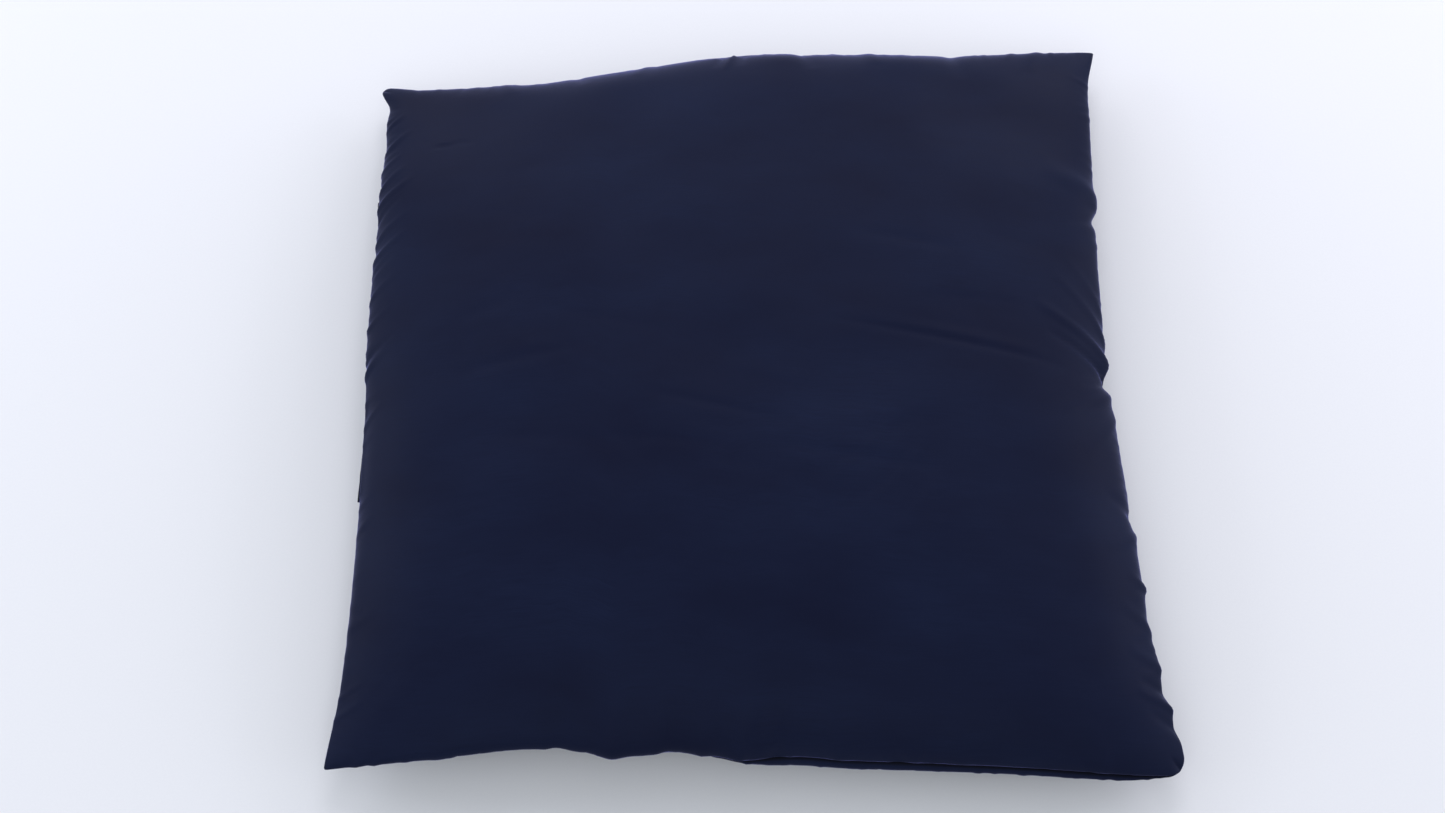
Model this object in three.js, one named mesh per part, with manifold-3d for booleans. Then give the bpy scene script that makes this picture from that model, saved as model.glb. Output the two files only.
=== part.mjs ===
// A large square floor cushion: a knife-edged cover of two sewn panels with a zip in its left side,
// and inside it a stuffed inner cushion of two cotton panels and one block of fibre.
// Millimetres, +Z up. The origin is on the floor under the middle of the cushion, +X is to the right,
// +Y is away from the front edge, and the zip runs along Y in the side that faces -X.
import * as THREE from "three";
import { mergeVertices } from "three/addons/utils/BufferGeometryUtils.js";
import Module from "manifold-3d";

// ---- Cushion ----
const SIDE = 900; // corner tip to corner tip, along each side
const THICKNESS = 150; // floor to crown
const SEAM_HEIGHT = 55; // floor to the seam, at the middle of a side
const CORNER_HEIGHT = 26; // floor to the seam, at a corner tip
const SOLE_DEPTH = 78; // how deep the underside would hang below the seam if no floor flattened it
const PULL_IN = 34; // how far a plain side draws in at its middle
const PULL_IN_POWER = 2.6; // a low power spreads the draw-in along the whole side
const ZIP_PULL_IN = 25; // the stiff zip lets its own side draw in less
const ZIP_PULL_IN_POWER = 8; // and keeps it straight almost to the corners
const DOME_POWER = 2.5; // a higher power gives a flatter top and steeper edges
const CORNER_POWER = 7; // a higher power keeps the seam level for longer before it dips to a corner
const CORNER_TRIM = 0.016; // share of the half side that rounding takes off a corner tip
const CORNER_TRIM_POWER = 16;

// ---- Fabric layers ----
const COVER_CLOTH = 0.6;
const CASING_CLOTH = 0.5;
const SEAM_GAP = 0.4; // between the two cloths of one seam
const CELLS = 18; // facets across every panel, the same in each layer so that the layers run parallel
const CASING_EDGE = 24; // cover's rim to the inner cushion's rim
const CASING_CROWN = 3.5; // cover's crown to the inner cushion's crown
const FIBRE_EDGE = 36; // cover's rim to the fibre block's rim
const FIBRE_CROWN = 8;
const FIBRE_RIM = 3; // half the thickness of the fibre block along its rim
const FIBRE_CORNER = 20; // how much further in the fibre stands at a corner
const OVERLOCK_WIDTH = 6; // bound seam allowance
const OVERLOCK_THICK = 1.4;
const OVERLOCK_SETBACK = 3; // rim to the bound allowance
const OVERLOCK_CLEAR = 4; // end of the zip's tape to the end of the bound allowance
const CASING_SEAM_WIDTH = 3; // the inner cushion's narrower seam allowance
const CASING_SEAM_THICK = 0.8;
const CORNER_CLIP = 9; // how much further in the bound allowance stands at a corner
const SIDE_STEPS = 14; // stations of a seam along one side

// ---- Zip, a number 5 coil ----
const ZIP_NEAR = -140; // ends of the zip's slot, along Y
const ZIP_FAR = 260;
const CHAIN_MARGIN = 6; // slot's end to the coil's end
const COIL_WIDTH = 2.5; // one coil
const COIL_THICK = 1.6;
const PARTING = 0.9; // between the two coils, where the slider's post runs
const TAPE_WIDTH = 15;
const TAPE_THICK = 0.6;
const TAPE_OVERRUN = 8; // tape past each end of the slot
const TAPE_GAP = 1.2; // between the two tapes
const TAPE_CLEARANCE = 3; // tape to the curved cloth in front of it
const TOUCH = 0.3; // between pieces that are sewn or clamped together
const RUNNING = 0.4; // between the slider and what it runs on
const COIL_FRONT = 1.5; // side's face to the coil's outer face
const STOP_LENGTH = 3;
const SLOT_CLEARANCE = 1; // slider to the slot's upper edge
const SLOT_CUT = 20; // how far the cut reaches out past the rim
const BAR_TACK = 2; // length of a bar tack along Y
const TACK_THICK = 1;
const LIP_THICK = 1.4; // the folded lip under the slot
const LIP_CLEARANCE = 1.3; // slider to the lip
const LIP_PROUD = 4.5; // how far the lip stands out at its free near end
const LIP_TUCK = 1; // how far it is tucked in past its proud stretch
const LIP_PROUD_LENGTH = 150;

// ---- Slider and pull tab ----
const SLIDER_LENGTH = 12;
const SLIDER_FLARE = 0.3; // how much wider each side is at the front, where the coils part
const SLIDER_CORNER = 1.7; // rounding of its plates
const PLATE = 1;
const FLANGE = 0.5; // thickness of the turned-in edges that hold the coils
const FLANGE_TAIL = 3; // slider's tail to the flange's end
const FLANGE_FRONT = 1.5; // slider's front to the flange's end
const POST_WIDTH = 0.5;
const POST_LENGTH = 3;
const ARCH_WIDTH = 1.6;
const ARCH_SPAN = 4.4; // clear length under the arch
const ARCH_RISE = 2.8; // clear height under the arch
const ARCH_THICK = 0.9;
const TAB_LENGTH = 24; // hinge axis to the tab's end
const TAB_WIDTH = 6;
const TAB_THICK = 0.9;
const TAB_RING = 1.2; // width of the tab's metal beside its hole
const TAB_CLEARANCE = 1.2; // between the arch and the tab's hole, all round

// ---- Worked-out places ----
const half = SIDE / 2 / (1 - CORNER_TRIM); // before the corner tips are rounded
const zipX = -(half - ZIP_PULL_IN);
const zipZ = SEAM_HEIGHT;
const coilEdge = PARTING / 2 + COIL_WIDTH;
const tailHalf = coilEdge + TOUCH + FLANGE;
const frontHalf = tailHalf + SLIDER_FLARE;
const slotHalf = frontHalf + SLOT_CLEARANCE;
const lipTop = -(frontHalf + LIP_CLEARANCE);
const slotLow = -lipTop + LIP_THICK + TOUCH;
const coilBack = COIL_FRONT + COIL_THICK;
const tapeFront = coilBack + TOUCH;
const chainNear = ZIP_NEAR + CHAIN_MARGIN;
const chainFar = ZIP_FAR - CHAIN_MARGIN;
const sliderFront = chainFar - TOUCH;
const hingeX = zipX + COIL_FRONT - RUNNING - PLATE - ARCH_RISE / 2;
const hingeY = sliderFront - SLIDER_LENGTH / 2;

const wasm = await Module();
wasm.setup();

// ---- Materials ----
const cloth = (color, roughness) => new THREE.MeshStandardMaterial({ color, roughness, metalness: 0 });
const navySateen = cloth(0x1f2438, 0.62);
const navyThread = cloth(0x171b2e, 0.7);
const navyTape = cloth(0x14182a, 0.8);
const blackNylon = cloth(0x0e111d, 0.4);
const enamelledZinc = new THREE.MeshStandardMaterial({ color: 0x12151f, roughness: 0.35, metalness: 0.6 });
const whiteCotton = cloth(0xe9e6de, 0.85);
const whiteFibre = cloth(0xf4f3ef, 0.95);

// ---- The cushion's form ----

function range(from, to, steps) {
  return Array.from({ length: steps + 1 }, (_, i) => from + ((to - from) * i) / steps);
}

// Stations from -1 to 1 that crowd towards both ends, where a dome is steep.
const crowded = (cells) => range(-Math.PI / 2, Math.PI / 2, cells).map((angle) => Math.sin(angle));

// 1 in the middle of the cushion and 0 along every edge.
function dome(u, v) {
  const across = 1 - Math.abs(u) ** DOME_POWER;
  const along = 1 - Math.abs(v) ** DOME_POWER;
  return Math.sqrt(Math.max(0, across * along));
}

// How far the side nearest to u draws in beside v.
function drawIn(u, v) {
  const onZipSide = u < 0;
  const depth = onZipSide ? ZIP_PULL_IN : PULL_IN;
  const power = onZipSide ? ZIP_PULL_IN_POWER : PULL_IN_POWER;
  return depth * (1 - Math.abs(v) ** power);
}

// A point of the seam surface. u and v run from -1 to 1 across the layer, whose rim stands inset from the
// cover's rim, and a further corner at its corners.
function seamPoint(u, v, inset, corner = 0) {
  const atCorner = Math.abs(u * v);
  const rounding = 1 - CORNER_TRIM * atCorner ** CORNER_TRIM_POWER;
  const edge = inset + corner * atCorner ** CORNER_TRIM_POWER;
  const x = u * (half - edge - drawIn(u, v)) * rounding;
  const y = v * (half - edge - PULL_IN * (1 - Math.abs(u) ** PULL_IN_POWER)) * rounding;
  const reach = atCorner * (1 - edge / half) ** 2;
  const z = CORNER_HEIGHT + (SEAM_HEIGHT - CORNER_HEIGHT) * (1 - reach ** CORNER_POWER);
  return new THREE.Vector3(x, y, z);
}

// A point of a layer above the seam. Its crown is lowered by crown, and its rim raised by rim.
function above(u, v, edge, crown, rim, corner = 0) {
  const point = seamPoint(u, v, edge, corner);
  point.z += rim + (THICKNESS - SEAM_HEIGHT - crown - rim) * dome(u, v);
  return point;
}

// The same below the seam, where the floor flattens it.
function below(u, v, edge, crown, rim, corner = 0) {
  const point = seamPoint(u, v, edge, corner);
  point.z = Math.max(crown, point.z - rim - (SOLE_DEPTH - crown - rim) * dome(u, v));
  return point;
}

// How far in from the rim a cover panel stands, at a height over or under the seam, beside v.
function panelSetback(height, depth, v) {
  const share = (height / depth) ** 2 / (1 - Math.abs(v) ** DOME_POWER);
  return (1 - (1 - share) ** (1 / DOME_POWER)) * (half - ZIP_PULL_IN);
}

// ---- Closed solids ----

const grid = (stations, point) => stations.map((u) => stations.map((v) => point(u, v)));

function signedVolume(points, triangles) {
  const normal = new THREE.Vector3();
  const cone = ([a, b, c]) => points[a].dot(normal.crossVectors(points[b], points[c])) / 6;
  return triangles.reduce((sum, triangle) => sum + cone(triangle), 0);
}

// A closed solid between two grids of points with the same rows and columns. A looped one joins its last
// row to its first.
function sheetSolid(upper, lower, looped = false) {
  const rows = upper.length;
  const columns = upper[0].length;
  const points = [...upper.flat(), ...lower.flat()];
  const up = (r, c) => (r % rows) * columns + c;
  const low = (r, c) => up(r, c) + rows * columns;
  const triangles = [];
  const quad = (a, b, c, d) => triangles.push([a, b, c], [a, c, d]);
  const strips = looped ? rows : rows - 1;
  for (let r = 0; r < strips; r++) {
    for (let c = 0; c < columns - 1; c++) {
      // Each facet splits along the line that points away from the nearest corner of the grid.
      const towardsFirst = 2 * r < rows - 1 === 2 * c < columns - 1;
      if (towardsFirst) {
        quad(up(r, c), up(r + 1, c), up(r + 1, c + 1), up(r, c + 1));
        quad(low(r + 1, c + 1), low(r + 1, c), low(r, c), low(r, c + 1));
      } else {
        quad(up(r + 1, c), up(r + 1, c + 1), up(r, c + 1), up(r, c));
        quad(low(r, c + 1), low(r + 1, c + 1), low(r + 1, c), low(r, c));
      }
    }
    quad(up(r, 0), low(r, 0), low(r + 1, 0), up(r + 1, 0));
    quad(up(r, columns - 1), up(r + 1, columns - 1), low(r + 1, columns - 1), low(r, columns - 1));
  }
  if (!looped) {
    for (let c = 0; c < columns - 1; c++) {
      quad(up(0, c), up(0, c + 1), low(0, c + 1), low(0, c));
      quad(up(rows - 1, c), low(rows - 1, c), low(rows - 1, c + 1), up(rows - 1, c + 1));
    }
  }
  const inwards = signedVolume(points, triangles) < 0;
  const facing = inwards ? triangles.map(([a, b, c]) => [a, c, b]) : triangles;
  const geometry = new THREE.BufferGeometry().setFromPoints(points);
  return geometry.setIndex(facing.flat());
}

function toSolid(geometry) {
  const bare = geometry.clone();
  bare.deleteAttribute("normal");
  bare.deleteAttribute("uv");
  const merged = mergeVertices(bare, 1e-4);
  const mesh = new wasm.Mesh({
    numProp: 3,
    vertProperties: merged.attributes.position.array,
    triVerts: new Uint32Array(merged.index.array),
  });
  return new wasm.Manifold(mesh);
}

function toGeometry(solid) {
  const mesh = solid.getMesh();
  const geometry = new THREE.BufferGeometry();
  geometry.setAttribute("position", new THREE.BufferAttribute(mesh.vertProperties, 3));
  return geometry.setIndex(new THREE.BufferAttribute(mesh.triVerts, 1));
}

// A box given by its lowest and highest corners.
function block(low, high) {
  const size = high.map((value, i) => value - low[i]);
  const middle = high.map((value, i) => (value + low[i]) / 2);
  return new THREE.BoxGeometry(...size).translate(...middle);
}

// A flat outline drawn in Y and Z, given a thickness along X from fromX.
function plate(outline, fromX, thickness) {
  const depth = thickness;
  const geometry = new THREE.ExtrudeGeometry(outline, { depth, bevelEnabled: false, curveSegments: 6 });
  const yToX = new THREE.Matrix4().makeBasis(
    new THREE.Vector3(0, 1, 0),
    new THREE.Vector3(0, 0, 1),
    new THREE.Vector3(1, 0, 0),
  );
  return geometry.applyMatrix4(yToX).translate(fromX, 0, 0);
}

// ---- Cover ----

// The slot that the zip fills, taken out of both panels' rims.
const zipSlot = block(
  [zipX - SLOT_CUT, ZIP_NEAR, zipZ - slotLow],
  [zipX + tapeFront, ZIP_FAR, zipZ + slotHalf],
);

function coverPanel(layer) {
  const stations = crowded(CELLS);
  const outer = grid(stations, (u, v) => layer(u, v, 0, 0, SEAM_GAP / 2));
  const inner = grid(stations, (u, v) => layer(u, v, COVER_CLOTH, COVER_CLOTH, SEAM_GAP / 2));
  return toGeometry(toSolid(sheetSolid(outer, inner)).subtract(toSolid(zipSlot)));
}

// Stations round the seam as points of the unit square: from a place on the zip side up to the far
// corner, clockwise round the other sides, and back to a second place on the zip side.
function stationsRound(vFrom, vTo) {
  const eased = crowded(SIDE_STEPS).map((station) => (station + 1) / 2);
  const leg = (from, to, place) => eased.slice(1).map((share) => place(from + (to - from) * share));
  return [
    [-1, vFrom],
    ...leg(vFrom, 1, (v) => [-1, v]),
    ...leg(-1, 1, (u) => [u, 1]),
    ...leg(1, -1, (v) => [1, v]),
    ...leg(1, -1, (u) => [u, -1]),
    ...leg(-1, vTo, (v) => [-1, v]),
  ];
}

// The bound seam allowance: a flat band that follows the rim inside it, clipped across the corners.
function seamBand({ setback, width, thickness }, vFrom, vTo, looped) {
  const edges = [setback, setback + width];
  const face = (offset) =>
    stationsRound(vFrom, vTo).slice(looped ? 1 : 0).map(([u, v]) =>
      edges.map((inset) => {
        const point = seamPoint(u, v, inset, CORNER_CLIP);
        point.z += offset;
        return point;
      }),
    );
  return sheetSolid(face(thickness / 2), face(-thickness / 2), looped);
}

// The folded lip along the bottom of the slot: it stands proud near its free end and is tucked in beyond.
function zipLip() {
  const stations = range(ZIP_NEAR + TOUCH, ZIP_FAR - TOUCH, 24);
  const standOut = (y) => {
    const along = Math.min(1, (y - ZIP_NEAR) / LIP_PROUD_LENGTH);
    const ease = along * along * (3 - 2 * along);
    return LIP_PROUD + (-LIP_TUCK - LIP_PROUD) * ease;
  };
  const face = (z) =>
    stations.map((y) => [
      new THREE.Vector3(zipX - standOut(y), y, zipZ + z),
      new THREE.Vector3(zipX + tapeFront - TOUCH, y, zipZ + z),
    ]);
  return sheetSolid(face(lipTop), face(lipTop - LIP_THICK));
}

// ---- Zip ----

// One tape: flat behind its coil, then curving in behind its cover panel. side is 1 above, -1 below.
function zipTape(side) {
  const depth = side > 0 ? THICKNESS - SEAM_HEIGHT : SOLE_DEPTH;
  const slot = side > 0 ? slotHalf : slotLow;
  const bend = frontHalf + TOUCH / 2;
  const heights = [TAPE_GAP / 2, bend, ...range(slot, TAPE_WIDTH, 3)];
  const stations = range(ZIP_NEAR - TAPE_OVERRUN, ZIP_FAR + TAPE_OVERRUN, 16);
  const face = (thickness) =>
    stations.map((y) =>
      heights.map((height) => {
        const behindPanel = panelSetback(height, depth, y / half) + COVER_CLOTH + TAPE_CLEARANCE;
        const x = Math.max(tapeFront, height > bend ? behindPanel : 0);
        return new THREE.Vector3(zipX + x + thickness, y, zipZ + side * height);
      }),
    );
  return sheetSolid(face(0), face(TAPE_THICK));
}

// One coil as a bar with a rounded outer face. side is 1 above, -1 below.
function zipCoil(side) {
  const near = PARTING / 2;
  const roundFrom = COIL_FRONT + COIL_THICK / 2;
  const outline = new THREE.Shape();
  outline.moveTo(coilBack, side * near);
  outline.lineTo(coilBack, side * coilEdge);
  outline.lineTo(roundFrom, side * coilEdge);
  outline.absellipse(
    roundFrom,
    (side * (near + coilEdge)) / 2,
    COIL_THICK / 2,
    COIL_WIDTH / 2,
    side * Math.PI * 0.5,
    side * Math.PI * 1.5,
    side < 0,
  );
  outline.lineTo(coilBack, side * near);
  const depth = chainFar - chainNear - 2 * TOUCH;
  const geometry = new THREE.ExtrudeGeometry(outline, { depth, bevelEnabled: false, curveSegments: 5 });
  return geometry.rotateX(Math.PI / 2).translate(zipX, chainFar - TOUCH, zipZ);
}

// A metal stop clamped at the end of the chain, between two heights over the seam.
const zipStop = (fromY, lowZ, highZ) =>
  block(
    [zipX + COIL_FRONT - TOUCH, fromY, zipZ + lowZ],
    [zipX + coilBack, fromY + STOP_LENGTH, zipZ + highZ],
  );

// Dense stitching that closes the slot at one of its ends.
const barTack = (fromY) =>
  block(
    [zipX + COIL_FRONT - TACK_THICK, fromY, zipZ + lipTop + TOUCH],
    [zipX + COIL_FRONT, fromY + BAR_TACK, zipZ + slotHalf - TOUCH],
  );

// A slider plate seen from outside: wide at the front where the coils part, and narrow at its tail.
function sliderOutline() {
  const front = sliderFront;
  const tail = sliderFront - SLIDER_LENGTH;
  const outline = new THREE.Shape();
  outline.moveTo(front, -frontHalf + SLIDER_CORNER);
  outline.lineTo(front, frontHalf - SLIDER_CORNER);
  outline.quadraticCurveTo(front, frontHalf, front - SLIDER_CORNER, frontHalf);
  outline.lineTo(tail + SLIDER_CORNER, tailHalf);
  outline.quadraticCurveTo(tail, tailHalf, tail, tailHalf - SLIDER_CORNER);
  outline.lineTo(tail, -tailHalf + SLIDER_CORNER);
  outline.quadraticCurveTo(tail, -tailHalf, tail + SLIDER_CORNER, -tailHalf);
  outline.lineTo(front - SLIDER_CORNER, -frontHalf);
  outline.quadraticCurveTo(front, -frontHalf, front, -frontHalf + SLIDER_CORNER);
  return outline;
}

// Two plates joined by the post that parts the coils, with turned-in flanges and the arch for the tab.
function sliderBody() {
  const weld = PLATE / 10;
  const outerFace = COIL_FRONT - RUNNING - PLATE;
  const innerPlate = tapeFront + TAPE_THICK + RUNNING;
  const tail = sliderFront - SLIDER_LENGTH;
  const archHalf = ARCH_SPAN / 2 + ARCH_THICK;
  const pieces = [
    plate(sliderOutline(), outerFace, PLATE),
    plate(sliderOutline(), innerPlate, PLATE),
    block(
      [outerFace + PLATE - weld, sliderFront - POST_LENGTH - PLATE, -POST_WIDTH / 2],
      [innerPlate + weld, sliderFront - PLATE, POST_WIDTH / 2],
    ),
    ...[1, -1].map((side) => {
      const heights = [side * (coilEdge + TOUCH), side * tailHalf].sort((a, b) => a - b);
      return block(
        [outerFace + PLATE - weld, tail + FLANGE_TAIL, heights[0]],
        [tapeFront - RUNNING, sliderFront - FLANGE_FRONT, heights[1]],
      );
    }),
    ...[1, -1].map((end) => {
      const along = [end * (ARCH_SPAN / 2), end * archHalf].sort((a, b) => a - b);
      return block(
        [outerFace - ARCH_RISE - weld, hingeY + along[0], -ARCH_WIDTH / 2],
        [outerFace + weld, hingeY + along[1], ARCH_WIDTH / 2],
      );
    }),
    block(
      [outerFace - ARCH_RISE - ARCH_THICK, hingeY - archHalf, -ARCH_WIDTH / 2],
      [outerFace - ARCH_RISE, hingeY + archHalf, ARCH_WIDTH / 2],
    ),
  ];
  const solid = pieces.map(toSolid).reduce((joined, piece) => joined.add(piece));
  return toGeometry(solid).translate(zipX, 0, zipZ);
}

// The pull tab, lying back along the chain: a slotted ring end whose cross bar turns under the arch.
function pullTab() {
  const bar = TAB_THICK / 2;
  const holeEnd = ARCH_SPAN / 2 + ARCH_THICK + TAB_CLEARANCE;
  const holeHalf = ARCH_WIDTH / 2 + TAB_CLEARANCE / 2;
  const ringHalf = holeHalf + TAB_RING;
  const tip = TAB_WIDTH / 2;
  const outline = new THREE.Shape();
  outline.moveTo(bar, -ringHalf);
  outline.lineTo(bar, ringHalf);
  outline.lineTo(-holeEnd, ringHalf);
  outline.lineTo(-holeEnd - tip, tip);
  outline.lineTo(-TAB_LENGTH + tip, tip);
  outline.absarc(-TAB_LENGTH + tip, 0, tip, Math.PI / 2, 1.5 * Math.PI);
  outline.lineTo(-holeEnd - tip, -tip);
  outline.lineTo(-holeEnd, -ringHalf);
  outline.lineTo(bar, -ringHalf);
  const hole = new THREE.Path();
  hole.moveTo(-bar, -holeHalf);
  hole.lineTo(-holeEnd, -holeHalf);
  hole.lineTo(-holeEnd, holeHalf);
  hole.lineTo(-bar, holeHalf);
  hole.lineTo(-bar, -holeHalf);
  outline.holes.push(hole);
  return plate(outline, -TAB_THICK / 2, TAB_THICK).translate(hingeX, hingeY, zipZ);
}

// ---- Inner cushion ----

function casingPanel(layer) {
  const stations = crowded(CELLS);
  const outer = grid(stations, (u, v) => layer(u, v, CASING_EDGE, CASING_CROWN, SEAM_GAP / 2));
  const inner = grid(stations, (u, v) =>
    layer(u, v, CASING_EDGE + CASING_CLOTH, CASING_CROWN + CASING_CLOTH, SEAM_GAP / 2),
  );
  return sheetSolid(outer, inner);
}

function fibreBlock() {
  const stations = crowded(CELLS);
  const top = grid(stations, (u, v) => above(u, v, FIBRE_EDGE, FIBRE_CROWN, FIBRE_RIM, FIBRE_CORNER));
  const bottom = grid(stations, (u, v) => below(u, v, FIBRE_EDGE, FIBRE_CROWN, FIBRE_RIM, FIBRE_CORNER));
  return sheetSolid(top, bottom);
}

// ---- Assembly ----

const cushion = new THREE.Group();

function addPiece(name, geometry, material, parent = cushion) {
  const mesh = new THREE.Mesh(geometry, material);
  mesh.name = name;
  parent.add(mesh);
}

const overlockFrom = (ZIP_FAR + TAPE_OVERRUN + OVERLOCK_CLEAR) / half;
const overlockTo = (ZIP_NEAR - TAPE_OVERRUN - OVERLOCK_CLEAR) / half;
const coverSeam = { setback: OVERLOCK_SETBACK, width: OVERLOCK_WIDTH, thickness: OVERLOCK_THICK };
const casingSeam = {
  setback: CASING_EDGE + OVERLOCK_SETBACK,
  width: CASING_SEAM_WIDTH,
  thickness: CASING_SEAM_THICK,
};

addPiece("cover_top_panel", coverPanel(above), navySateen);
addPiece("cover_bottom_panel", coverPanel(below), navySateen);
addPiece("cover_seam_overlock", seamBand(coverSeam, overlockFrom, overlockTo, false), navyThread);
addPiece("zip_lip", zipLip(), navySateen);
addPiece("zip_bar_tack_near", barTack(ZIP_NEAR + TOUCH), navyThread);
addPiece("zip_bar_tack_far", barTack(ZIP_FAR - TOUCH - BAR_TACK), navyThread);

const topStopLow = TAPE_GAP / 2;
addPiece("zip_tape_upper", zipTape(1), navyTape);
addPiece("zip_tape_lower", zipTape(-1), navyTape);
addPiece("zip_coil_upper", zipCoil(1), blackNylon);
addPiece("zip_coil_lower", zipCoil(-1), blackNylon);
addPiece("zip_top_stop_upper", zipStop(chainFar, topStopLow, coilEdge), enamelledZinc);
addPiece("zip_top_stop_lower", zipStop(chainFar, -coilEdge, -topStopLow), enamelledZinc);
addPiece("zip_bottom_stop", zipStop(chainNear - STOP_LENGTH, -coilEdge, coilEdge), enamelledZinc);
addPiece("zip_slider_body", sliderBody(), enamelledZinc);
addPiece("zip_pull_tab", pullTab(), enamelledZinc);

addPiece("inner_casing_top", casingPanel(above), whiteCotton);
addPiece("inner_casing_bottom", casingPanel(below), whiteCotton);
addPiece("inner_casing_overlock", seamBand(casingSeam, 0, 0, true), whiteCotton);
addPiece("fibre_filling", fibreBlock(), whiteFibre);

export default cushion;
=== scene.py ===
# %% [markdown]
# # A large navy floor cushion, sewn, stuffed and zipped
#
# The real cushion is two flat squares of sateen sewn face to face, turned inside out and stuffed.
# This lesson makes it in the same order: the sewn outline, the cloth that a stuffing has pushed out,
# the folds that a hand and a floor leave in it, and then the zip, the inner cushion and the finishes.
# The CAD frame says where everything sits. It is loaded first, and nothing in it is moved.

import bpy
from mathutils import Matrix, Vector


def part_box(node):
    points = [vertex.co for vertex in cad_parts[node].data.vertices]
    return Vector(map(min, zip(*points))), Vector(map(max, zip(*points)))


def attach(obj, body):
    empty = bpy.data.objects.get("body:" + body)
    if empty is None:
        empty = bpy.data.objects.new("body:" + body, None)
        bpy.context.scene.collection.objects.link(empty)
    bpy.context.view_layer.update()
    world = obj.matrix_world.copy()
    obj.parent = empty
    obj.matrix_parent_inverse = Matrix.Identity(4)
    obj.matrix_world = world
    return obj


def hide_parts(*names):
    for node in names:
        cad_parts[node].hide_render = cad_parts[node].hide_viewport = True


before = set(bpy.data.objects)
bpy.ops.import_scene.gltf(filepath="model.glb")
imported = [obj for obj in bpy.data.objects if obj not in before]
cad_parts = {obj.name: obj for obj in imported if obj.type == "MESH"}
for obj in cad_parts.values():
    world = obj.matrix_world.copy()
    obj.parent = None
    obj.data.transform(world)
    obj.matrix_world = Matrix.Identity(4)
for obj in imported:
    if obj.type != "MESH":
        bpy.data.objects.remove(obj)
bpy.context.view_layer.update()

import math

import bpy
import numpy as np
from mathutils import Vector

MM = 0.001

# %% [markdown]
# ## The camera
#
# A camera is a place, a direction and a lens. Here it stands at the near side of the cushion, 2.1 m
# above the floor, and looks steeply down. Spherical angles round a target are easier to think in than
# three coordinates, so the place is worked out from an azimuth, an elevation and a distance. A 50 mm
# lens on a 36 mm sensor shows little distortion.

# %% Set up the camera
CAMERA_AZIMUTH = math.radians(-0.86)
CAMERA_ELEVATION = math.radians(62.95)
CAMERA_DISTANCE = 2.344
CAMERA_TARGET = Vector((-0.0267, -0.0011, 0.0))

camera_data = bpy.data.cameras.new("camera")
camera_data.lens = 50.0
camera_data.sensor_width = 36.0
camera = bpy.data.objects.new("camera", camera_data)
bpy.context.scene.collection.objects.link(camera)
backwards = Vector((
    math.sin(CAMERA_AZIMUTH) * math.cos(CAMERA_ELEVATION),
    -math.cos(CAMERA_AZIMUTH) * math.cos(CAMERA_ELEVATION),
    math.sin(CAMERA_ELEVATION),
))
camera.location = CAMERA_TARGET + backwards * CAMERA_DISTANCE
camera.rotation_euler = backwards.to_track_quat("Z", "Y").to_euler()
bpy.context.scene.camera = camera
bpy.context.scene.view_settings.view_transform = "Standard"
print("camera at", [round(value, 3) for value in camera.location])

# %% [markdown]
# ## Places that the frame gives
#
# The cover has to meet the zip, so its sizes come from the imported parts: the crown's height from the
# top panel, the zip's face and ends from the coils and the lip.

# %% Read the frame's places
top_low, top_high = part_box("cover_top_panel")
coil_low, coil_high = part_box("zip_coil_upper")
lower_coil_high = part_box("zip_coil_lower")[1]
lip_low, lip_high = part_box("zip_lip")
tape_low, tape_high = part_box("zip_tape_upper")

CROWN = top_high.z
SEAM_HEIGHT = (coil_low.z + lower_coil_high.z) / 2
COIL_SETBACK = 1.5 * MM  # the coil's face stands this far behind the zip's face
ZIP_FACE = coil_low.x - COIL_SETBACK
ZIP_NEAR, ZIP_FAR = lip_low.y, lip_high.y
SLOT_UP = 5.1 * MM  # the zip's slot, above and below the seam
SLOT_DOWN = SEAM_HEIGHT - lip_low.z + 0.3 * MM  # just below the lip
HALF_SIDE = (top_high.x - top_low.x) / 2
print(f"seam at {SEAM_HEIGHT / MM:.0f} mm, zip face at x = {ZIP_FACE / MM:.1f} mm")

# %% [markdown]
# ## The sewn outline
#
# Flat, the cover is a plain square. Stuffed, its sides draw in between the corners, because the cloth
# that goes up over the filling has to come from somewhere. One side here is stiff with the zip and
# stays straight; the others wander as a hand-made thing does. Each side is a line between two corners
# and a few draw-in values along it, joined by a smooth cubic curve. Distances are in millimetres,
# places along a side run from -1 to 1.

# %% Draw the outline
CORNERS = {
    "near_left": (-455, -444),
    "near_right": (457, -463),
    "far_right": (449, 471),
    "far_left": (-450, 435),
}
SIDES = {
    "left": ("near_left", "far_left", (1, 0)),
    "right": ("near_right", "far_right", (-1, 0)),
    "near": ("near_left", "near_right", (0, 1)),
    "far": ("far_left", "far_right", (0, -1)),
}
DRAW_IN = {
    "left": [(-1, 0), (-0.8, 16), (-0.4, 21.2), (0.0, 20.2), (0.6, 18.7), (0.88, 15), (1, 0)],
    "right": [(-1, 0), (-0.93, 5), (-0.75, 23), (-0.4, 31), (0.05, 39), (0.35, 36), (0.85, 18), (1, 0)],
    "near": [(-1, 0), (-0.8, 9), (-0.5, 20), (0, 11), (0.5, 4), (0.85, -3), (1, 0)],
    "far": [
        (-1, 0), (-0.85, 19), (-0.55, 23), (-0.3, 11), (-0.02, -4), (0.3, 2), (0.6, 9), (0.85, 6), (1, 0),
    ],
}


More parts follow.
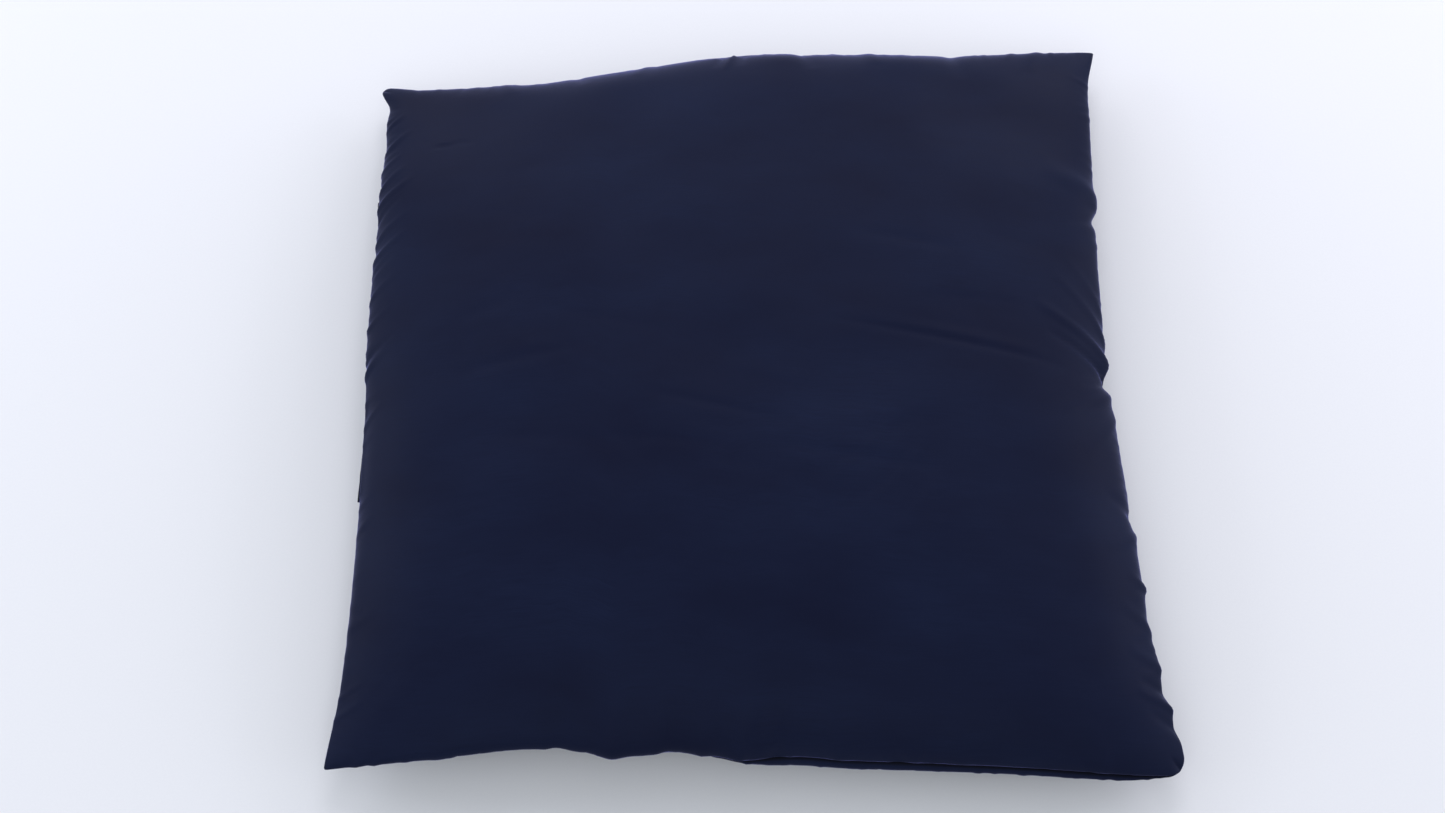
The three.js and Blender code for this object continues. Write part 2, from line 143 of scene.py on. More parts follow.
def smooth_curve(points, places):
    """The smooth cubic curve through points, a list of (place, value), at each of the places."""
    x, y = np.array(points, float).T
    slope = np.gradient(y, x)
    slope[1:-1] = (y[2:] - y[:-2]) / (x[2:] - x[:-2])
    i = np.clip(np.searchsorted(x, places) - 1, 0, len(x) - 2)
    width = x[i + 1] - x[i]
    t = (places - x[i]) / width
    rise = (2 * t**3 - 3 * t**2 + 1) * y[i] + (3 * t**2 - 2 * t**3) * y[i + 1]
    return rise + width * ((t**3 - 2 * t**2 + t) * slope[i] + (t**3 - t**2) * slope[i + 1])


def side_line(name, places):
    """Points of one side's seam, seen from above, in metres."""
    start, end, inward = SIDES[name]
    share = (places[:, None] + 1) / 2
    chord = np.array(CORNERS[start]) * (1 - share) + np.array(CORNERS[end]) * share
    return (chord + np.array(inward) * smooth_curve(DRAW_IN[name], places)[:, None]) * MM


middle_width = side_line("right", np.zeros(1))[0, 0] - side_line("left", np.zeros(1))[0, 0]
print(f"the cushion is {middle_width / MM:.0f} mm wide across its middle")

# %% [markdown]
# ## The stuffed form
#
# Both panels are grids. A grid point has two numbers, u and v, from -1 to 1 across the cloth. Four
# curved sides fill in to a surface with a Coons patch: the sum of the two side-to-side blends, less the
# blend of the corners that both of them count. A dome power above 2 keeps the crown broad and flat and
# the edges steep, and the seam sinks towards each corner, where there is little stuffing.
# The grid's stations are spaced by equal lengths of cloth, not equal steps of u, because the cloth is
# steep at the rim.

# %% Build the start form of the two panels
CLOTH_CELLS = 150
DOME_POWER = 2.5
DOME_EDGE = 0.54
SOLE_DEPTH = 80 * MM
CORNER_POWER = 7
SEAM_AT_CORNER = {
    "near_left": 34 * MM,
    "near_right": 30 * MM,
    "far_right": 41 * MM,
    "far_left": 34 * MM,
}


def dome(u, v):
    """1 over the middle of the cushion and 0 along its seam."""
    return np.clip((1 - np.abs(u) ** DOME_POWER) * (1 - np.abs(v) ** DOME_POWER), 0, None) ** DOME_EDGE


def even_stations(cells):
    """Stations from -1 to 1 with the same length of cloth between each two, over the middle profile."""
    fine = np.linspace(-1, 1, 4001)
    across = np.diff(fine) * middle_width / 2
    up = np.diff((CROWN - SEAM_HEIGHT) * dome(fine, 0))
    cloth = np.concatenate([[0], np.cumsum(np.hypot(across, up))])
    return np.interp(np.linspace(0, cloth[-1], cells + 1), cloth, fine)


def coons(u, v):
    """The plan of the cushion: x and y of each grid point."""
    sides = {name: side_line(name, v if name in ("left", "right") else u) for name in SIDES}
    corner = {name: np.array(place) * MM for name, place in CORNERS.items()}
    a = (u[:, None, None] + 1) / 2
    b = (v[None, :, None] + 1) / 2
    across = (1 - a) * sides["left"][None] + a * sides["right"][None]
    along = (1 - b) * sides["near"][:, None] + b * sides["far"][:, None]
    near = (1 - a) * corner["near_left"] + a * corner["near_right"]
    far = (1 - a) * corner["far_left"] + a * corner["far_right"]
    return across + along - (1 - b) * near - b * far


stations = even_stations(CLOTH_CELLS)
U, V = np.meshgrid(stations, stations, indexing="ij")
plan = coons(stations, stations)
near_share, far_share = (1 - V) / 2, (1 + V) / 2
corner_height = (
    (1 - U) / 2 * (near_share * SEAM_AT_CORNER["near_left"] + far_share * SEAM_AT_CORNER["far_left"])
    + (1 + U) / 2 * (near_share * SEAM_AT_CORNER["near_right"] + far_share * SEAM_AT_CORNER["far_right"])
)
seam_surface = SEAM_HEIGHT - (SEAM_HEIGHT - corner_height) * np.abs(U * V) ** CORNER_POWER
start_top = np.dstack([plan, seam_surface + (CROWN - SEAM_HEIGHT) * dome(U, V)])
start_bottom = np.dstack([plan, np.maximum(0, seam_surface - SOLE_DEPTH * dome(U, V))])
print("start form:", start_top.shape, "crown", round(float(start_top[..., 2].max()) / MM), "mm")

# %% [markdown]
# ## Letting the cloth settle
#
# Blender's Cloth treats each edge of a mesh as a spring. The two panels are welded along the seam into
# one closed bag, and a little air pressure stands in for the fibre inside. The seam itself is pinned,
# because stitching holds it. Near the seam the cloth is told to be longer than it is drawn, by a
# negative shrink: that is exactly the slack that sewing leaves, and it buckles into puckers that no
# formula would draw as well. The crown is held lightly so that it keeps its broad, flat shape. A corner
# has four layers of allowance folded into it, which keep it smooth, so there the start form stays.

# %% Simulate the cover
SIM_FRAMES = 24
SLACK = 0.05  # how much longer the cloth is near the seam
SLACK_REACH = 0.16  # how far the slack reaches in, as a share of the half side
CROWN_HOLD = 0.15


def weld(top, bottom):
    """Vertices and faces of one closed bag, and the index of each grid point in it, for both panels."""
    size = top.shape[0]
    top_index = np.arange(size * size).reshape(size, size)
    rim = np.zeros((size, size), bool)
    rim[0] = rim[-1] = rim[:, 0] = rim[:, -1] = True
    bottom_index = np.where(rim, top_index, 0)
    bottom_index[~rim] = size * size + np.arange((~rim).sum())
    vertices = np.concatenate([top.reshape(-1, 3), bottom[~rim]])
    corners = [(0, 0), (1, 0), (1, 1), (0, 1)]
    faces = []
    for index, order in ((top_index, corners), (bottom_index, corners[::-1])):
        loops = [index[i:size - 1 + i, j:size - 1 + j] for i, j in order]
        faces.append(np.stack(loops, -1).reshape(-1, 4))
    return vertices, np.concatenate(faces), top_index, bottom_index, rim


def weigh(bag, name, weights):
    """A vertex group that holds one weight for each vertex."""
    group = bag.vertex_groups.new(name=name)
    rounded = np.round(weights, 2)
    for value in np.unique(rounded[rounded > 0]):
        group.add(np.nonzero(rounded == value)[0].tolist(), float(value), "REPLACE")


def settle(top, bottom, held, slack):
    """The two panels after the cloth simulation."""
    vertices, faces, top_index, bottom_index, rim = weld(top, bottom)
    mesh = bpy.data.meshes.new("bag")
    mesh.from_pydata(vertices.tolist(), [], faces.tolist())
    bag = bpy.data.objects.new("bag", mesh)
    bpy.context.scene.collection.objects.link(bag)
    for name, grid in (("held", np.maximum(held, rim)), ("slack", slack)):
        weigh(bag, name, np.concatenate([grid.reshape(-1), grid[~rim]]))
    modifier = bag.modifiers.new("cloth", "CLOTH")
    cloth = modifier.settings
    cloth.quality = 6
    cloth.mass = 0.15
    cloth.tension_stiffness = 30
    cloth.compression_stiffness = 30
    cloth.shear_stiffness = 10
    cloth.bending_stiffness = 0.05
    cloth.tension_damping = 10
    cloth.compression_damping = 10
    cloth.shear_damping = 10
    cloth.air_damping = 2
    cloth.vertex_group_mass = "held"
    cloth.vertex_group_shrink = "slack"
    cloth.shrink_min = 0.0
    cloth.shrink_max = -SLACK
    cloth.use_pressure = True
    cloth.uniform_pressure_force = 1.0
    cloth.effector_weights.gravity = 0
    modifier.collision_settings.use_collision = False
    scene = bpy.context.scene
    modifier.point_cache.frame_start = 1
    modifier.point_cache.frame_end = SIM_FRAMES
    for step in range(1, SIM_FRAMES + 1):
        scene.frame_set(step)
    settled = bag.evaluated_get(bpy.context.evaluated_depsgraph_get()).data
    places = np.zeros(len(vertices) * 3)
    settled.vertices.foreach_get("co", places)
    scene.frame_set(1)
    bpy.data.objects.remove(bag)
    places = places.reshape(-1, 3)
    return places[top_index], places[bottom_index]


slack = np.exp(-(((1 - np.maximum(np.abs(U), np.abs(V))) / SLACK_REACH) ** 2))
CORNER_STIFF = 0.9  # beyond this share of the half side in both directions, the cloth doesn't settle
CORNER_BLEND = 0.35
from_corner = np.clip((CORNER_STIFF - np.minimum(np.abs(U), np.abs(V))) / CORNER_BLEND, 0, 1)
from_corner = (from_corner**2 * (3 - 2 * from_corner))[..., None]
settled = settle(start_top, start_bottom, CROWN_HOLD * dome(U, V) ** 2, slack * from_corner[..., 0])
top_cloth = start_top + (settled[0] - start_top) * from_corner
bottom_cloth = start_bottom + (settled[1] - start_bottom) * from_corner
moved = np.linalg.norm(top_cloth - start_top, axis=2)
print(f"the cloth moved {moved.max() / MM:.1f} mm at most, {moved.mean() / MM:.1f} mm on average")

# %% [markdown]
# ## A finer cloth
#
# A simulation needs few cells and a render needs many, above all at the seam, where the cloth turns
# over in a millimetre or two. So both panels are drawn again through the settled points with a
# Catmull-Rom spline, on stations that crowd into the last few millimetres of each side.

# %% Draw the cloth again, finer
FINE_CELL = 2.7  # mm between stations in the folded margins
COARSE_CELL = 3.6  # mm between stations over the calm middle
MARGIN = 110  # mm
RIM_ROWS = [0.0, 0.06, 0.14, 0.26, 0.44, 0.7]  # extra stations in the first cell of cloth, at each side


def spline_weights(cells, places):
    """For each place along a row of cells, the four points that shape it, and their weights."""
    i = np.clip(np.floor(places).astype(int), 0, cells - 1)
    t = places - i
    neighbours = np.clip(np.stack([i - 1, i, i + 1, i + 2]), 0, cells)
    weights = np.stack([
        (-t**3 + 2 * t**2 - t) / 2,
        (3 * t**3 - 5 * t**2 + 2) / 2,
        (-3 * t**3 + 4 * t**2 + t) / 2,
        (t**3 - t**2) / 2,
    ])
    return neighbours, weights


def redraw(grid, places):
    """A grid of points drawn again on new stations, which count in cells of the old grid."""
    neighbours, weights = spline_weights(grid.shape[0] - 1, places)
    rows = sum(w[:, None, None] * grid[n] for n, w in zip(neighbours, weights))
    return sum(w[None, :, None] * rows[:, n] for n, w in zip(neighbours, weights))


cell = float(np.linalg.norm(np.diff(start_top[:, CLOTH_CELLS // 2], axis=0), axis=1).mean()) / MM
margin_cells = MARGIN / cell
margin = np.linspace(1, margin_cells, round((MARGIN - cell) / FINE_CELL) + 1)
middle_count = round((CLOTH_CELLS * cell - 2 * MARGIN) / COARSE_CELL) + 1
middle = np.linspace(margin_cells, CLOTH_CELLS - margin_cells, middle_count)
half = np.concatenate([RIM_ROWS, margin])
places = np.concatenate([half, middle[1:-1], CLOTH_CELLS - half[::-1]])
top_fine = redraw(top_cloth, places)
bottom_fine = redraw(bottom_cloth, places)
print("panels redrawn on", top_fine.shape[:2], "points")

# %% [markdown]
# ## Measuring along the cloth
#
# Folds near a seam are easiest to place by two distances: how far along the side, and how deep into
# the cloth, measured over the cloth and not through the air. Both are worked out once for each panel.

# %% Measure each panel from its four seams
def seam_depths(points):
    """Distance over the cloth from each side's seam, for every grid point."""
    depths = {}
    for name, axis in (("left", 0), ("near", 1)):
        step = np.linalg.norm(np.diff(points, axis=axis), axis=2)
        total = np.cumsum(step, axis=axis)
        pad = [(1, 0), (0, 0)] if axis == 0 else [(0, 0), (1, 0)]
        run = np.pad(total, pad)
        depths[name] = run
        other = "right" if name == "left" else "far"
        depths[other] = (run[-1:] if axis == 0 else run[:, -1:]) - run
    return depths


def outward_normals(points, sign):
    """Unit normals of a grid, turned outwards by sign."""
    du = np.gradient(points, axis=0)
    dv = np.gradient(points, axis=1)
    normal = np.cross(du, dv) * sign
    return normal / np.maximum(np.linalg.norm(normal, axis=2, keepdims=True), 1e-12)


def along_side(points, name):
    """Where each point lies along a side: y on the left and right, x on the near and far side."""
    return points[..., 1] if name in ("left", "right") else points[..., 0]


depth_top = seam_depths(top_fine)
depth_bottom = seam_depths(bottom_fine)
across_top = depth_top["left"][-1]
print("cloth across the top panel:", round(float(across_top[len(across_top) // 2]) / MM), "mm")

# %% [markdown]
# ## Rolling the edges
#
# A stuffed edge seldom lies level. Where the cushion has been pushed, the seam rolls up and the
# underside shows below it, or rolls down and the top bulges over it. One function moves a panel's
# margin sideways by a bump that starts at the seam, is fullest two centimetres in and then dies away.
# A window says along which stretch of the side it acts.

# %% Roll the margins
BULGE_DEPTH = 22 * MM


def window(along, start, end, ramp):
    """1 between start and end, with a smooth ramp at both ends. All in millimetres."""
    rise = np.clip((along / MM - start) / ramp + 0.5, 0, 1)
    fall = np.clip((end - along / MM) / ramp + 0.5, 0, 1)
    return rise**2 * (3 - 2 * rise) * fall**2 * (3 - 2 * fall)


def bulge(points, depths, side, start, end, ramp, amount):
    """Pushes a panel's margin out past its seam by amount, in millimetres."""
    inward = np.array([*SIDES[side][2], 0.0])
    share = depths[side] / BULGE_DEPTH
    swell = share * np.exp(1 - share)
    push = amount * MM * swell * window(along_side(points, side), start, end, ramp)
    return points - inward * push[..., None]


top_fine = bulge(top_fine, depth_top, "near", -430, -60, 120, 11)
bottom_fine = bulge(bottom_fine, depth_bottom, "near", -10, 430, 90, 12)
top_fine = bulge(top_fine, depth_top, "left", 0, 190, 90, 7)
top_fine = bulge(top_fine, depth_top, "left", 205, 295, 60, 5)
top_fine = bulge(top_fine, depth_top, "right", 60, 380, 120, 6)
print("near edge rolled under on the left, and up on the right")

# %% [markdown]
# ## Rounding the corners
#
# A maker seldom pokes all four corners out equally well. Two here are crisp and two stay blunt, one with
# a fold of cloth still inside. A blunt corner is the sharp one with its square turned into a quarter disc.

# %% Round the corners
CORNER_RADIUS = {"near_left": 7 * MM, "near_right": 24 * MM, "far_right": 5 * MM, "far_left": 19 * MM}


def round_corners(points, depths):
    """Turns the square at each corner of a panel into a quarter disc."""
    rounded = points.copy()
    for corner, radius in CORNER_RADIUS.items():
        end, side = corner.split("_")
        a = np.clip(radius - depths[side], 0, None)
        b = np.clip(radius - depths[end], 0, None)
        length = np.hypot(a, b)
        shrink = 1 - np.maximum(a, b) / np.maximum(length, 1e-9)
        across = np.array([*SIDES[side][2], 0.0])
        along = np.array([*SIDES[end][2], 0.0])
        rounded += (a * shrink)[..., None] * across + (b * shrink)[..., None] * along
    return rounded


top_fine = round_corners(top_fine, depth_top)
bottom_fine = round_corners(bottom_fine, depth_bottom)
print("corner radii, mm:", {name: round(radius / MM) for name, radius in CORNER_RADIUS.items()})

# %% [markdown]
# ## Folds, pinches and lumps
#
# A fold is a soft ridge along a line. Across the line it rises as a bell and dips a little on both
# sides, the way pushed cloth does, and it fades out at its inner end. A pinch draws both panels in
# together at one place of a side. A lump is a broad swelling where the fibre has gathered. They are
# given as (along, depth) of the start and the end, then the width and the height, in millimetres.

# %% Fold, pinch and lump the cloth
ZIP_SIDE_RELIEF = 0.3  # the zip's tape keeps the left seam straight, so folds start low there
ZIP_SIDE_RISE = 0.35  # and are full at this share of their length
FOLD_FADE = 0.7  # below 1, a fold keeps its height for most of its length
FOLD_DIP = 0.45  # how deep the dips on both sides of a fold are


def ridge(points, depths, side, start, end, width, height):
    """How far a fold lifts each point off the cloth."""
    if side == "crown":
        place = points[..., :2] / MM
    else:
        place = np.stack([along_side(points, side), depths[side]], -1) / MM
    start, end = np.array(start, float), np.array(end, float)
    line = end - start
    share = ((place - start) @ line) / (line @ line)
    apart = np.linalg.norm(place - start - np.clip(share, 0, 1)[..., None] * line, axis=2) / width
    fade = (1 - np.clip(share, 0, 1)) ** FOLD_FADE
    if side == "left":
        fade = fade * (ZIP_SIDE_RELIEF + (1 - ZIP_SIDE_RELIEF) * np.clip(share / ZIP_SIDE_RISE, 0, 1))
    if side == "crown":
        fade = np.sin(np.pi * np.clip(share, 0.02, 0.98)) ** FOLD_FADE
    return height * MM * fade * np.exp(-apart**2) * (1 - FOLD_DIP * apart**2)


def lump(points, depths, side, centre, width, height):
    """A broad swelling round one place of a panel."""
    place = np.stack([along_side(points, side), depths[side]], -1) / MM
    apart = np.linalg.norm((place - np.array(centre)) / np.array(width), axis=2)
    return height * MM * np.exp(-apart**2)


def pinch(points, depths, side, place, width, amount, reach):
    """Draws the cloth in at one place of a side."""
    inward = np.array([*SIDES[side][2], 0.0])
    bell = np.exp(-(((along_side(points, side) / MM - place) / width) ** 2))
    pull = amount * MM * bell * np.exp(-depths[side] / MM / reach)
    return points + inward * pull[..., None]


PINCHES = [
    ("right", -12, 13, 7, 50),
    ("right", 206, 14, 3, 40),
    ("right", -177, 16, 2.5, 30),
    ("right", -262, 5, -3.5, 8),
    ("right", -300, 14, 2, 30),
    ("right", -345, 12, -2, 20),
    ("right", -375, 9, 2.5, 20),
    ("right", -412, 9, 3, 20),
    ("near", -234, 45, 3, 60),
    ("near", -146, 26, -4, 40),
    ("near", -75, 22, 3, 40),
    ("near", -12, 24, -4, 40),
    ("near", 50, 30, 2.5, 40),
    ("left", 262, 9, 1.5, 20),
    ("left", 168, 12, 1.5, 25),
    ("left", 330, 14, 1.5, 25),
    ("left", 395, 18, 5, 25),
    ("far", -250, 25, 2, 40),
    ("far", 120, 25, -2, 40),
]
TOP_FOLDS = [
    # the right side's pinch, with its folds fanning out
    ("right", (-8, 0), (34, 100), 6, -4.6),
    ("right", (10, 0), (70, 108), 7, 4.2),
    ("right", (-24, 0), (-70, 95), 7, 2.6),
    ("right", (-14, 6), (-30, 60), 4, -2.2),
    ("right", (36, 0), (112, 84), 6, 2.4),
    ("right", (-50, 0), (-122, 70), 7, 2.0),
    ("right", (62, 0), (140, 70), 6, 1.4),
    ("right", (206, 0), (186, 60), 8, -2.7),
    ("right", (228, 0), (262, 85), 16, 3.9),
    ("right", (-177, 0), (-160, 55), 8, -2.4),
    ("right", (-200, 0), (-225, 60), 9, 2.4),
    ("right", (-262, 0), (-250, 35), 6, 2.4),
    ("right", (-310, 0), (-285, 50), 8, 2.1),
    ("right", (-352, 0), (-335, 45), 7, 2.4),
    ("right", (-380, 0), (-368, 40), 6, -2.2),
    ("right", (-396, 0), (-380, 45), 6, 2.7),
    ("right", (-420, 0), (-400, 40), 7, -2.1),
    # the left side's slanting puckers above the zip
    ("left", (2, 0), (32, 50), 4.3, 3.1),
    ("left", (16, 0), (50, 60), 3.6, -2.4),
    ("left", (60, 0), (86, 50), 4.3, 2.0),
    ("left", (98, 0), (130, 55), 4.3, 2.2),
    ("left", (128, 0), (160, 50), 3.6, -1.5),
    ("left", (150, 0), (188, 62), 4.3, 2.8),
    ("left", (176, 0), (214, 60), 4.3, 2.4),
    ("left", (205, 0), (240, 52), 3.6, -2.0),
    ("left", (226, 0), (264, 62), 4.3, 3.1),
    ("left", (250, 0), (284, 50), 3.6, 2.4),
    ("left", (282, 0), (306, 40), 3.6, 1.8),
    ("left", (312, 0), (342, 46), 4.3, 2.4),
    ("left", (350, 0), (372, 36), 3.6, 1.8),
    ("left", (-60, 0), (-34, 45), 4.3, 1.5),
    ("left", (-190, 0), (-170, 40), 5.8, 1.5),
    ("left", (-300, 0), (-285, 45), 6.5, 1.4),
    ("left", (-395, 0), (-380, 40), 5.0, 1.5),
    # the far side's crease and its soft swells
    ("far", (-6, 30), (-18, 70), 4, 2.4),
    ("far", (-20, 28), (-30, 62), 5, -1.6),
    ("far", (8, 28), (2, 60), 6, -1.2),
    ("far", (-110, 0), (-125, 55), 10, 1.7),
    ("far", (-200, 0), (-190, 50), 9, -1.4),
    ("far", (-290, 0), (-275, 50), 9, 1.4),
    ("far", (75, 0), (90, 70), 12, -2.2),
    ("far", (160, 0), (168, 60), 12, 2.0),
    ("far", (262, 0), (270, 80), 14, -2.5),
    ("far", (372, 0), (356, 60), 10, 1.7),
    # the near side's scallops
    ("near", (-330, 0), (-318, 60), 14, 1.7),
    ("near", (-205, 0), (-196, 75), 14, -2.5),
    ("near", (-150, 0), (-146, 80), 14, 3.4),
    ("near", (-92, 0), (-80, 70), 12, -2.8),
    ("near", (-55, 0), (-48, 60), 10, 2.2),
    ("near", (-18, 0), (2, 75), 9, 3.1),
    ("near", (22, 0), (40, 60), 9, -2.0),
    ("near", (88, 0), (70, 70), 11, 2.5),
    ("near", (150, 0), (120, 75), 10, -1.7),
    ("near", (215, 0), (200, 60), 12, 1.7),
    ("near", (300, 0), (288, 60), 12, -1.4),
    ("near", (365, 0), (352, 55), 12, 1.4),
    ("near", (-418, 0), (-405, 22), 4, 1.4),
    ("near", (-400, 0), (-386, 24), 4, 1.4),
    # creases from lying folded in a bag
    ("crown", (90, 32), (372, -14), 5, -1.0),
    ("crown", (150, 30), (330, 2), 9, 0.7),
    ("crown", (-120, -54), (40, -92), 7, -0.6),
    ("crown", (20, -120), (210, -150), 9, -0.5),
    ("crown", (-369, 304), (-338, 301), 2.6, -1.3),
    ("crown", (-345, 306), (-318, 303), 2.6, -1.0),
    ("crown", (-330, -20), (-180, 5), 9, -0.6),
    ("crown", (-300, -95), (-120, -120), 10, -0.4),
    ("crown", (120, 150), (250, 128), 9, -0.6),
    ("crown", (60, -330), (150, -352), 8, -0.6),
]
TOP_LUMPS = [
    ("far", (-150, 62), (70, 34), 2.6),
    ("far", (55, 40), (34, 26), 2.4),
    ("far", (198, 46), (50, 30), 3.2),
    ("far", (330, 92), (52, 42), 2.8),
    ("far", (-300, 50), (60, 30), 1.8),
    ("right", (214, 46), (60, 30), 3.2),
    ("right", (-250, 60), (70, 40), 1.6),
    ("left", (235, 55), (80, 30), 2.2),
    ("left", (-60, 60), (120, 40), 1.6),
    ("near", (-320, 70), (70, 40), 1.6),
    ("near", (160, 95), (90, 40), -1.8),
    ("near", (300, 60), (60, 36), 1.8),
]

lift_top = sum(ridge(top_fine, depth_top, *fold) for fold in TOP_FOLDS)
lift_top += sum(lump(top_fine, depth_top, *swell) for swell in TOP_LUMPS)
print(len(TOP_FOLDS), "folds and", len(TOP_LUMPS), "swells on the top panel")

# %% [markdown]
# ## Small puckers all round
#
# Every sewn seam puckers a little, because the needle feeds the two cloths at slightly different
# speeds. These puckers are short, narrow and never alike, so their places come from a random generator
# with a fixed seed. A much broader, much lower unevenness over the whole panel is the fibre itself.

# %% Add puckers and fibre unevenness
random = np.random.default_rng(7)
PUCKER_SPACING = 17
PUCKER_SKEW = 14
PUCKER_END = 425  # puckers stop this far from the middle of a side
PUCKER_SHIFT = 8
CALM_SEAM = 3  # folds rise from nothing over this distance from a seam
CALM_MARGIN = 60  # the fibre's unevenness rises over this distance


def small_puckers(points, depths, height):
    """Short puckers across each seam, and how far they lift the cloth."""
    lift = np.zeros(points.shape[:2])
    for side in SIDES:
        for place in np.arange(-PUCKER_END, PUCKER_END + 1, PUCKER_SPACING):
            start = place + random.uniform(-PUCKER_SHIFT, PUCKER_SHIFT)
            slant = random.uniform(-PUCKER_SKEW, PUCKER_SKEW)
            reach = random.uniform(16, 44)
            width = random.uniform(3.0, 5.2)
            rise = height * random.uniform(-0.6, 1.0)
            lift += ridge(points, depths, side, (start, 0), (start + slant, reach), width, rise)
    return lift


def fibre_unevenness(points, height, waves=26):
    """A smooth random relief, a handful of long cosine waves in every direction."""
    x, y = points[..., 0], points[..., 1]
    relief = np.zeros(points.shape[:2])
    for _ in range(waves):
        length = random.uniform(90, 260) * MM
        angle = random.uniform(0, 2 * np.pi)
        phase = random.uniform(0, 2 * np.pi)
        relief += np.cos(2 * np.pi * (x * np.cos(angle) + y * np.sin(angle)) / length + phase)
    return relief * height * MM / math.sqrt(waves / 2)


def rim_fade(depths, width):
    """0 at every seam and 1 further in."""
    nearest = np.minimum.reduce(list(depths.values()))
    return 1 - np.exp(-((nearest / (width * MM)) ** 2))


def bag_creases(points, depths, count, height):
    """Long faint creases over the crown, mostly across the cushion, from lying folded in a bag."""
    lift = np.zeros(points.shape[:2])
    for _ in range(count):
        middle = random.uniform(-330, 330, 2)
        angle = random.normal(-0.12, 0.22)
        reach = random.uniform(25, 85) * np.array([math.cos(angle), math.sin(angle)])
        width = random.uniform(7, 13)
        rise = height * random.uniform(-1.0, 0.6)
        lift += ridge(points, depths, "crown", middle - reach, middle + reach, width, rise)
    return lift


lift_top += small_puckers(top_fine, depth_top, 1.3)
lift_top += bag_creases(top_fine, depth_top, 46, 0.4)
lift_top += fibre_unevenness(top_fine, 0.55) * rim_fade(depth_top, CALM_MARGIN)
lift_bottom = small_puckers(bottom_fine, depth_bottom, 1.4)
lift_bottom += fibre_unevenness(bottom_fine, 0.5) * rim_fade(depth_bottom, CALM_MARGIN)
rise_top = (lift_top * rim_fade(depth_top, CALM_SEAM))[..., None]
rise_bottom = (lift_bottom * rim_fade(depth_bottom, CALM_SEAM))[..., None]
top_fine = top_fine + outward_normals(top_fine, 1) * rise_top
bottom_fine = bottom_fine + outward_normals(bottom_fine, -1) * rise_bottom
for pinch_here in PINCHES:
    top_fine = pinch(top_fine, depth_top, *pinch_here)
    bottom_fine = pinch(bottom_fine, depth_bottom, *pinch_here)
print(f"lift of the top panel: {lift_top.min() / MM:.1f} to {lift_top.max() / MM:.1f} mm")

# %% [markdown]
# ## The seam, the zip's slot and the floor
#
# At a plain seam both cloths turn inwards and leave a fine groove between two rounded edges. Along the
# zip they don't meet: each is folded back at the edge of the slot. Both are the same move, an inward
# tuck that fades within a millimetre or two, plus a spread of the two edges that is small along a plain
# seam and as wide as the slot along the zip. Last, the floor flattens whatever would pass through it.

# %% Tuck the seam, open the slot, press on the floor
TUCK = 2.2 * MM
TUCK_DEPTH = 1.5 * MM
SEAM_PART = 0.45 * MM  # each cloth's edge stands this far off the seam line
SLOT_BLEND = 10 * MM
SLOT_RAMP = 7  # mm over which the slot opens and closes at its ends
FLOOR_SOFTNESS = 0.6 * MM


def finish_edges(points, depths, sign):
    """Tucks a panel's edge in, and spreads it from the seam line. sign is 1 for the top panel."""
    tucked = points.copy()
    for side, (_, _, inward) in SIDES.items():
        pull = TUCK * np.exp(-((depths[side] / TUCK_DEPTH) ** 2))
        tucked += np.array([*inward, 0.0]) * pull[..., None]
    nearest = np.minimum.reduce(list(depths.values()))
    slot = SLOT_UP if sign > 0 else SLOT_DOWN
    on_zip = window(points[..., 1], ZIP_NEAR / MM, ZIP_FAR / MM, SLOT_RAMP)
    spread = SEAM_PART * np.exp(-((nearest / (2 * MM)) ** 2))
    spread = spread + (slot - SEAM_PART) * on_zip * np.exp(-((depths["left"] / SLOT_BLEND) ** 2))
    tucked[..., 2] += sign * spread
    return tucked


def press_on_floor(points):
    """Lifts what lies under the floor onto it, with a soft bend where it leaves the floor."""
    pressed = points.copy()
    height = points[..., 2]
    pressed[..., 2] = (height + np.sqrt(height**2 + FLOOR_SOFTNESS**2)) / 2
    return pressed


top_outer = finish_edges(top_fine, depth_top, 1)
bottom_outer = press_on_floor(finish_edges(bottom_fine, depth_bottom, -1))
print("lowest point:", round(float(bottom_outer[..., 2].min()) / MM, 2), "mm")

# %% [markdown]
# ## From grids to closed pieces
#
# Cloth has two faces and an edge. Each panel becomes a closed shell: the outer grid, the same grid
# moved inwards by the cloth's thickness, and a strip that joins them round the rim. The UV map is the
# cut cloth laid flat, in metres, so a weave drawn on it is never stretched.

# %% Helpers that make a closed piece
CLOTH_THICKNESS = 0.7 * MM
pieces = {}


def link(name, mesh, material, body="cushion", slot=None, stands_for=()):
    """Puts a mesh in the scene as a piece of the object."""
    piece = bpy.data.objects.new(name, mesh)
    bpy.context.scene.collection.objects.link(piece)
    mesh.materials.append(material)
    pieces[name] = (piece, body, slot, stands_for)
    return piece


def mark_rim(mesh, distances):
    """Stores how far each vertex is from a seam or fold. The sateen paints shade near a seam from it."""
    mesh.attributes.new("rim", "FLOAT", "POINT").data.foreach_set("value", distances)


